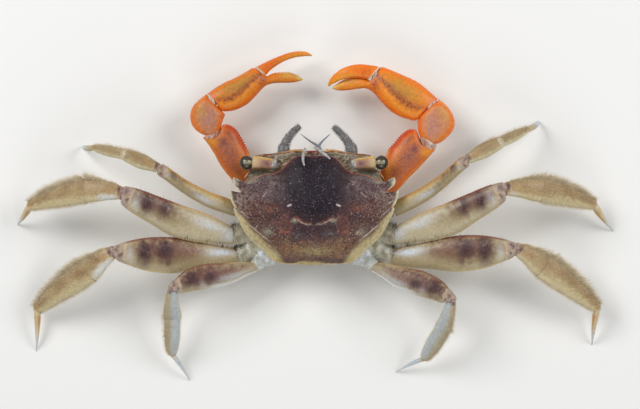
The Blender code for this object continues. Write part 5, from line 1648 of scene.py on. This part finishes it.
def hairShell(roots, ways, lengths, kind, side, rng, uvRoots, first=None):
    # Three-sided hairs: a path that leaves the root, bends at random and a little down with the square of
    # the way along it, and tapers to a point.
    count = len(roots)
    ways = unitRows(ways)
    bend = rng.normal(0, 0.16, (count, 3)) + [0, 0, -0.1]
    e1 = unitRows(np.cross(ways, [0.3, 0.2, 1.0]))
    e2 = np.cross(ways, e1)
    t = np.array([0, 0.35, 0.7])
    path = (roots[:, None] + ways[:, None] * (lengths[:, None] * t)[..., None]
        + bend[:, None] * (lengths[:, None] * t * t)[..., None])
    turn = 2 * np.pi * np.arange(3) / 3
    ring = e1[:, None] * np.cos(turn)[:, None] + e2[:, None] * np.sin(turn)[:, None]
    radius = kind["thick"] / 2 * (1 - t) ** 0.6
    points = path[:, :, None] + ring[:, None] * radius[:, None, None]
    tip = roots + (ways + bend) * lengths[:, None]
    points = np.concatenate([points.reshape(count, 9, 3), tip[:, None]], 1)
    k, n = np.arange(3), (np.arange(3) + 1) % 3
    quads = np.concatenate([np.stack([k, n, n + 3, k + 3], 1), np.stack([k + 3, n + 3, n + 6, k + 6], 1)])
    tris = np.concatenate([np.stack([k + 6, n + 6, k * 0 + 9], 1), [[2, 1, 0]]])
    if side < 0:
        points, quads, tris = points * [-1, 1, 1], quads[:, ::-1], tris[:, ::-1]
    offset = (np.arange(count) * 10)[:, None, None]
    mix = ((rng.uniform(0, 1, count) - (kind["first"] if first is None else first)) * 4).clip(0, 1)[:, None]
    colour = tone(*kind["tones"][0]) * (1 - mix) + tone(*kind["tones"][1]) * mix
    colour = np.repeat(colour, 10, 0)
    size = unwrap["hair"]
    patch = np.array([[size * a / 3, size * b / 3] for a in range(3) for b in range(3)] + [[size, size]])
    uvs = (uvRoots[:, None] + patch).reshape(-1, 2)
    return (points.reshape(-1, 3), (quads + offset).reshape(-1, 4), (tris + offset).reshape(-1, 3),
        colour), uvs


def makeHair(name, groups):
    # One piece from groups of hairs, each with the places of its hairs on the unwrap.
    shells = [group[0] for group in groups]
    makePiece(name, shells, "hair", uvs=np.concatenate([group[1] for group in groups]))


def rootsOn(segment, share, angle):
    # Places on a segment with their outward direction and the direction along the limb.
    here = onSegment(segment, share, angle, 0.03)
    alongStep = onSegment(segment, share + 0.004, angle, 0.03) - here
    aroundStep = onSegment(segment, share, angle + 0.01, 0.03) - here
    out = unitRows(np.cross(aroundStep, alongStep), 1e-12)
    middle = segment["body"](share)[0]
    out *= np.sign(((here - middle) * out).sum(1))[:, None]
    return here, out, unitRows(alongStep, 1e-12)


def tiled(tile, a, b):
    # Where a root lies on the unwrap: each patch of skin has one of the square tiles, row by row.
    n, margin, width = unwrap["tiles"], unwrap["margin"], unwrap["width"]
    return np.stack([(tile % n + margin + width * a) / n, (tile // n + margin + width * b) / n], -1)


def around(angle):
    # The share of a full turn, 0 to 1.
    return (angle / (2 * np.pi)) % 1


def feltOn(sideName, side, pair, tile, rng):
    # Short felt lying towards the tip over the carpus and propodus, longer and standing out along both
    # edges.
    groups = []
    h = hair["felt"]
    for n, kind in enumerate(("carpus", "propodus")):
        segment = legSegments[sideName, pair, kind]
        width, thick = legPairs[pair]["widths"][n + 1], legPairs[pair]["thick"][n + 1]
        area = segment["length"] * (width + thick) * 1.6
        count = int(area * h["perArea"] * h["dense"][pair])
        share, angle = rng.uniform(-0.045, 1.04, count) - 0.055 * n, rng.uniform(0, 2 * np.pi, count)
        edges = rng.uniform(0, 1, count) < 0.42  # nearly half of the hairs gather along the two edges
        front = rng.uniform(0, 1, count) < 0.72
        upwards = rng.normal(0.25, 0.35, count)
        angle = np.where(edges, np.where(front, np.pi - upwards, upwards), angle)
        x, z = section(segment, angle)
        ragged = x + rng.normal(0, 0.16, count)
        bare = (ragged > 0.25) & (x < 0.97) & (z > -0.5) if kind == "carpus" else np.zeros(count, bool)
        if pair == 4:
            bare = (ragged > -0.3) & (x < 0.9) & (z > 0)
        keep = ~bare & (share > 0.12 * (kind == "carpus"))
        share, angle, x = share[keep], angle[keep], x[keep]
        here, out, along = rootsOn(segment, share, angle)
        atEdge = ramp(0.62, 0.97, np.abs(x))
        half = segment["body"](share)[1]
        outwards = unitRows(half) * np.sign(x)[:, None]
        ways = out * 0.35 + outwards * (0.7 * atEdge)[:, None] + along * 0.8
        ways = ways + rng.normal(0, 0.16, here.shape)
        longest = h["edgeLength"] * (0.55 if pair in (1, 4) else 1.0) * np.where(x < 0, 1.35, 0.65)
        grown = 1 - 0.35 * ramp(0.55, 1.0, share)
        if kind == "carpus":
            grown = 0.3 + 0.7 * ramp(0.1, 0.95, share)
        lengths = h["length"] + (longest * grown - h["length"]) * atEdge
        lengths = lengths * rng.uniform(0.25, 1.35, len(share))
        groups.append(hairShell(here, ways, lengths, h, side, rng, tiled(tile + n, share, around(angle)),
            np.where(x < 0, 0.45, -0.1)))
    return groups


def setaeOn(sideName, side, pair, tile, rng):
    # Sparse long pale hairs beyond both edges of the merus, and dark bristles behind the base of pairs 2
    # and 3.
    groups = []
    h = hair["setae"]
    segment = legSegments[sideName, pair, "merus"]
    count = int(segment["length"] * h["perMm"] * (2.2 if pair in (2, 3) else 1.2))
    share = rng.uniform(0.06, 0.93, count)
    rear = rng.uniform(0, 1, count) < 0.55
    angle = np.where(rear, 0.0, np.pi) + rng.normal(0, 0.3, count)
    here, out, along = rootsOn(segment, share, angle)
    ways = out + along * rng.uniform(0.1, 0.7, count)[:, None] + rng.normal(0, 0.22, here.shape)
    lengths = h["length"] * rng.uniform(0.35, 1.1, count) * (0.8 if pair in (1, 4) else 1.0)
    groups.append(hairShell(here, ways, lengths, h, side, rng, tiled(tile, share, around(angle))))
    if pair in (2, 3):
        h = hair["bristles"]
        count = int(segment["length"] * 0.4 * h["perMm"])
        share = rng.uniform(0.02, 0.42 if pair == 2 else 0.2, count)
        angle = rng.normal(0.62 if pair == 2 else 2.7, 0.16, count)
        here, out, along = rootsOn(segment, share, angle)
        lean = [0, 0.95 if pair == 2 else -0.6, 0.1]
        ways = out * 0.35 + lean + along * 0.1 + rng.normal(0, 0.08, here.shape)
        groups.append(hairShell(here, ways, h["length"] * rng.uniform(0.5, 1.1, count), h, side, rng,
            tiled(tile, share, around(angle))))
    return groups


def tuftsAt(sideName, side, pair, tile, rng):
    # Mixed dark and pale hairs round the coxa and the hip, standing up and outwards.
    h = hair["tuft"]
    hip = np.array(legPoses[sideName, pair][0], float)
    root = limbRoot(hip)
    width, thick = limbBases[pair][0]
    count, darkShare = h["counts"][pair]
    dark = rng.uniform(0, 1, count) < darkShare  # a dark tuft in front of the hip
    share = np.where(dark, rng.normal(0.93, 0.09, count), rng.uniform(0.45, 1.0, count))
    angle = np.where(dark, rng.normal(2.75, 0.3, count), rng.uniform(-0.3, np.pi + 0.3, count))
    along = unit(hip - root)
    left = unit(np.cross([0, 0, 1.0], along))
    up = np.cross(along, left)
    wide = width * np.interp(share, [0.4, 0.7, 1.0], [0.5, 0.4, 0.24])
    here = (root + (hip - root) * share[:, None] + left * (wide * np.cos(angle))[:, None]
        + up * (thick * 0.48 * np.sin(angle))[:, None])
    ways = left * np.cos(angle)[:, None] + up * 0.35 * np.sin(angle)[:, None]
    ways = ways + along * rng.uniform(-0.1, 0.9, count)[:, None] + rng.normal(0, 0.3, here.shape)
    lengths = h["length"] * rng.uniform(0.4, 1.1, count)
    return [hairShell(here, ways, lengths, h, side, rng,
        tiled(tile, share - 0.2, angle / (2 * np.pi) + 0.2),
        np.where(dark, 1.0, -1.0))]


def fringeOn(sideName, side, tile, rng):
    # Pale hairs all along the palps, most of them at their edges.
    h = hair["fringe"]
    s = rng.uniform(0.1, 0.99, h["count"])
    path = np.array(head["palps"][sideName], float)
    here, ahead = curveThrough(path, s), curveThrough(path, (s + 0.01).clip(0, 1.001))
    along = unitRows(ahead - here, 1e-9)
    across = np.cross(along, [0, 0, 1.0])
    radius = smoothThrough(np.linspace(0, 1, len(head["palpWidths"])), head["palpWidths"], s) / 2
    turn = np.where(rng.uniform(0, 1, len(s)) < 0.6, np.pi * (rng.uniform(0, 1, len(s)) < 0.5),
        rng.uniform(0, np.pi, len(s)))
    turn = turn + rng.normal(0, 0.3, len(s))
    out = across * np.cos(turn)[:, None] + np.array([0, 0, 1.0]) * np.sin(turn)[:, None]
    ways = out + along * rng.uniform(0.2, 1.0, len(s))[:, None] + rng.normal(0, 0.2, here.shape)
    here = here + out * (radius * 0.85)[:, None]
    return [hairShell(here, ways, h["length"] * rng.uniform(0.4, 1.1, len(s)), h, side, rng,
        tiled(tile, s, around(turn)))]


def faceHair(side, tile, rng):
    # Short hair in the eye sockets and over the face between the arches and the shell.
    h = hair["face"]
    x = np.concatenate([rng.normal(4.2, 0.6, h["count"] // 2), rng.uniform(6.0, 8.6, h["count"] // 2)])
    y = np.concatenate([rng.normal(-6.7, 0.45, h["count"] // 2), rng.normal(-4.85, 0.25, h["count"] // 2)])
    keep = (y > -7.6) & (y < -4.2)
    x, y = x[keep], y[keep]
    here = np.stack([x, y, faceHeight(x, y) - 0.03], -1)
    ways = np.stack([0 * x + 0.3, 0 * x - 0.5, 0 * x + 0.75], -1) + rng.normal(0, 0.35, here.shape)
    return [hairShell(here, ways, h["length"] * rng.uniform(0.5, 1.2, len(x)), h, side, rng,
        tiled(tile, x / 12, (y + 8) / 8))]


for sideName, side in sides.items():
    rng = np.random.default_rng(7 if side > 0 else 8)
    for pair in legPairs:
        tile = (pair - 1) * 8 + (4 if side > 0 else 0)
        makeHair(f"felt_leg{pair}_{sideName}", feltOn(sideName, side, pair, tile, rng))
        makeHair(f"setae_leg{pair}_{sideName}", setaeOn(sideName, side, pair, tile + 2, rng)
            + tuftsAt(sideName, side, pair, tile + 3, rng))
    makeHair(f"palp_hair_{sideName}", fringeOn(sideName, side, 40 + (side > 0), rng))
    makeHair(f"face_hair_{sideName}", faceHair(side, 48 + (side > 0), rng))
print("hair made")
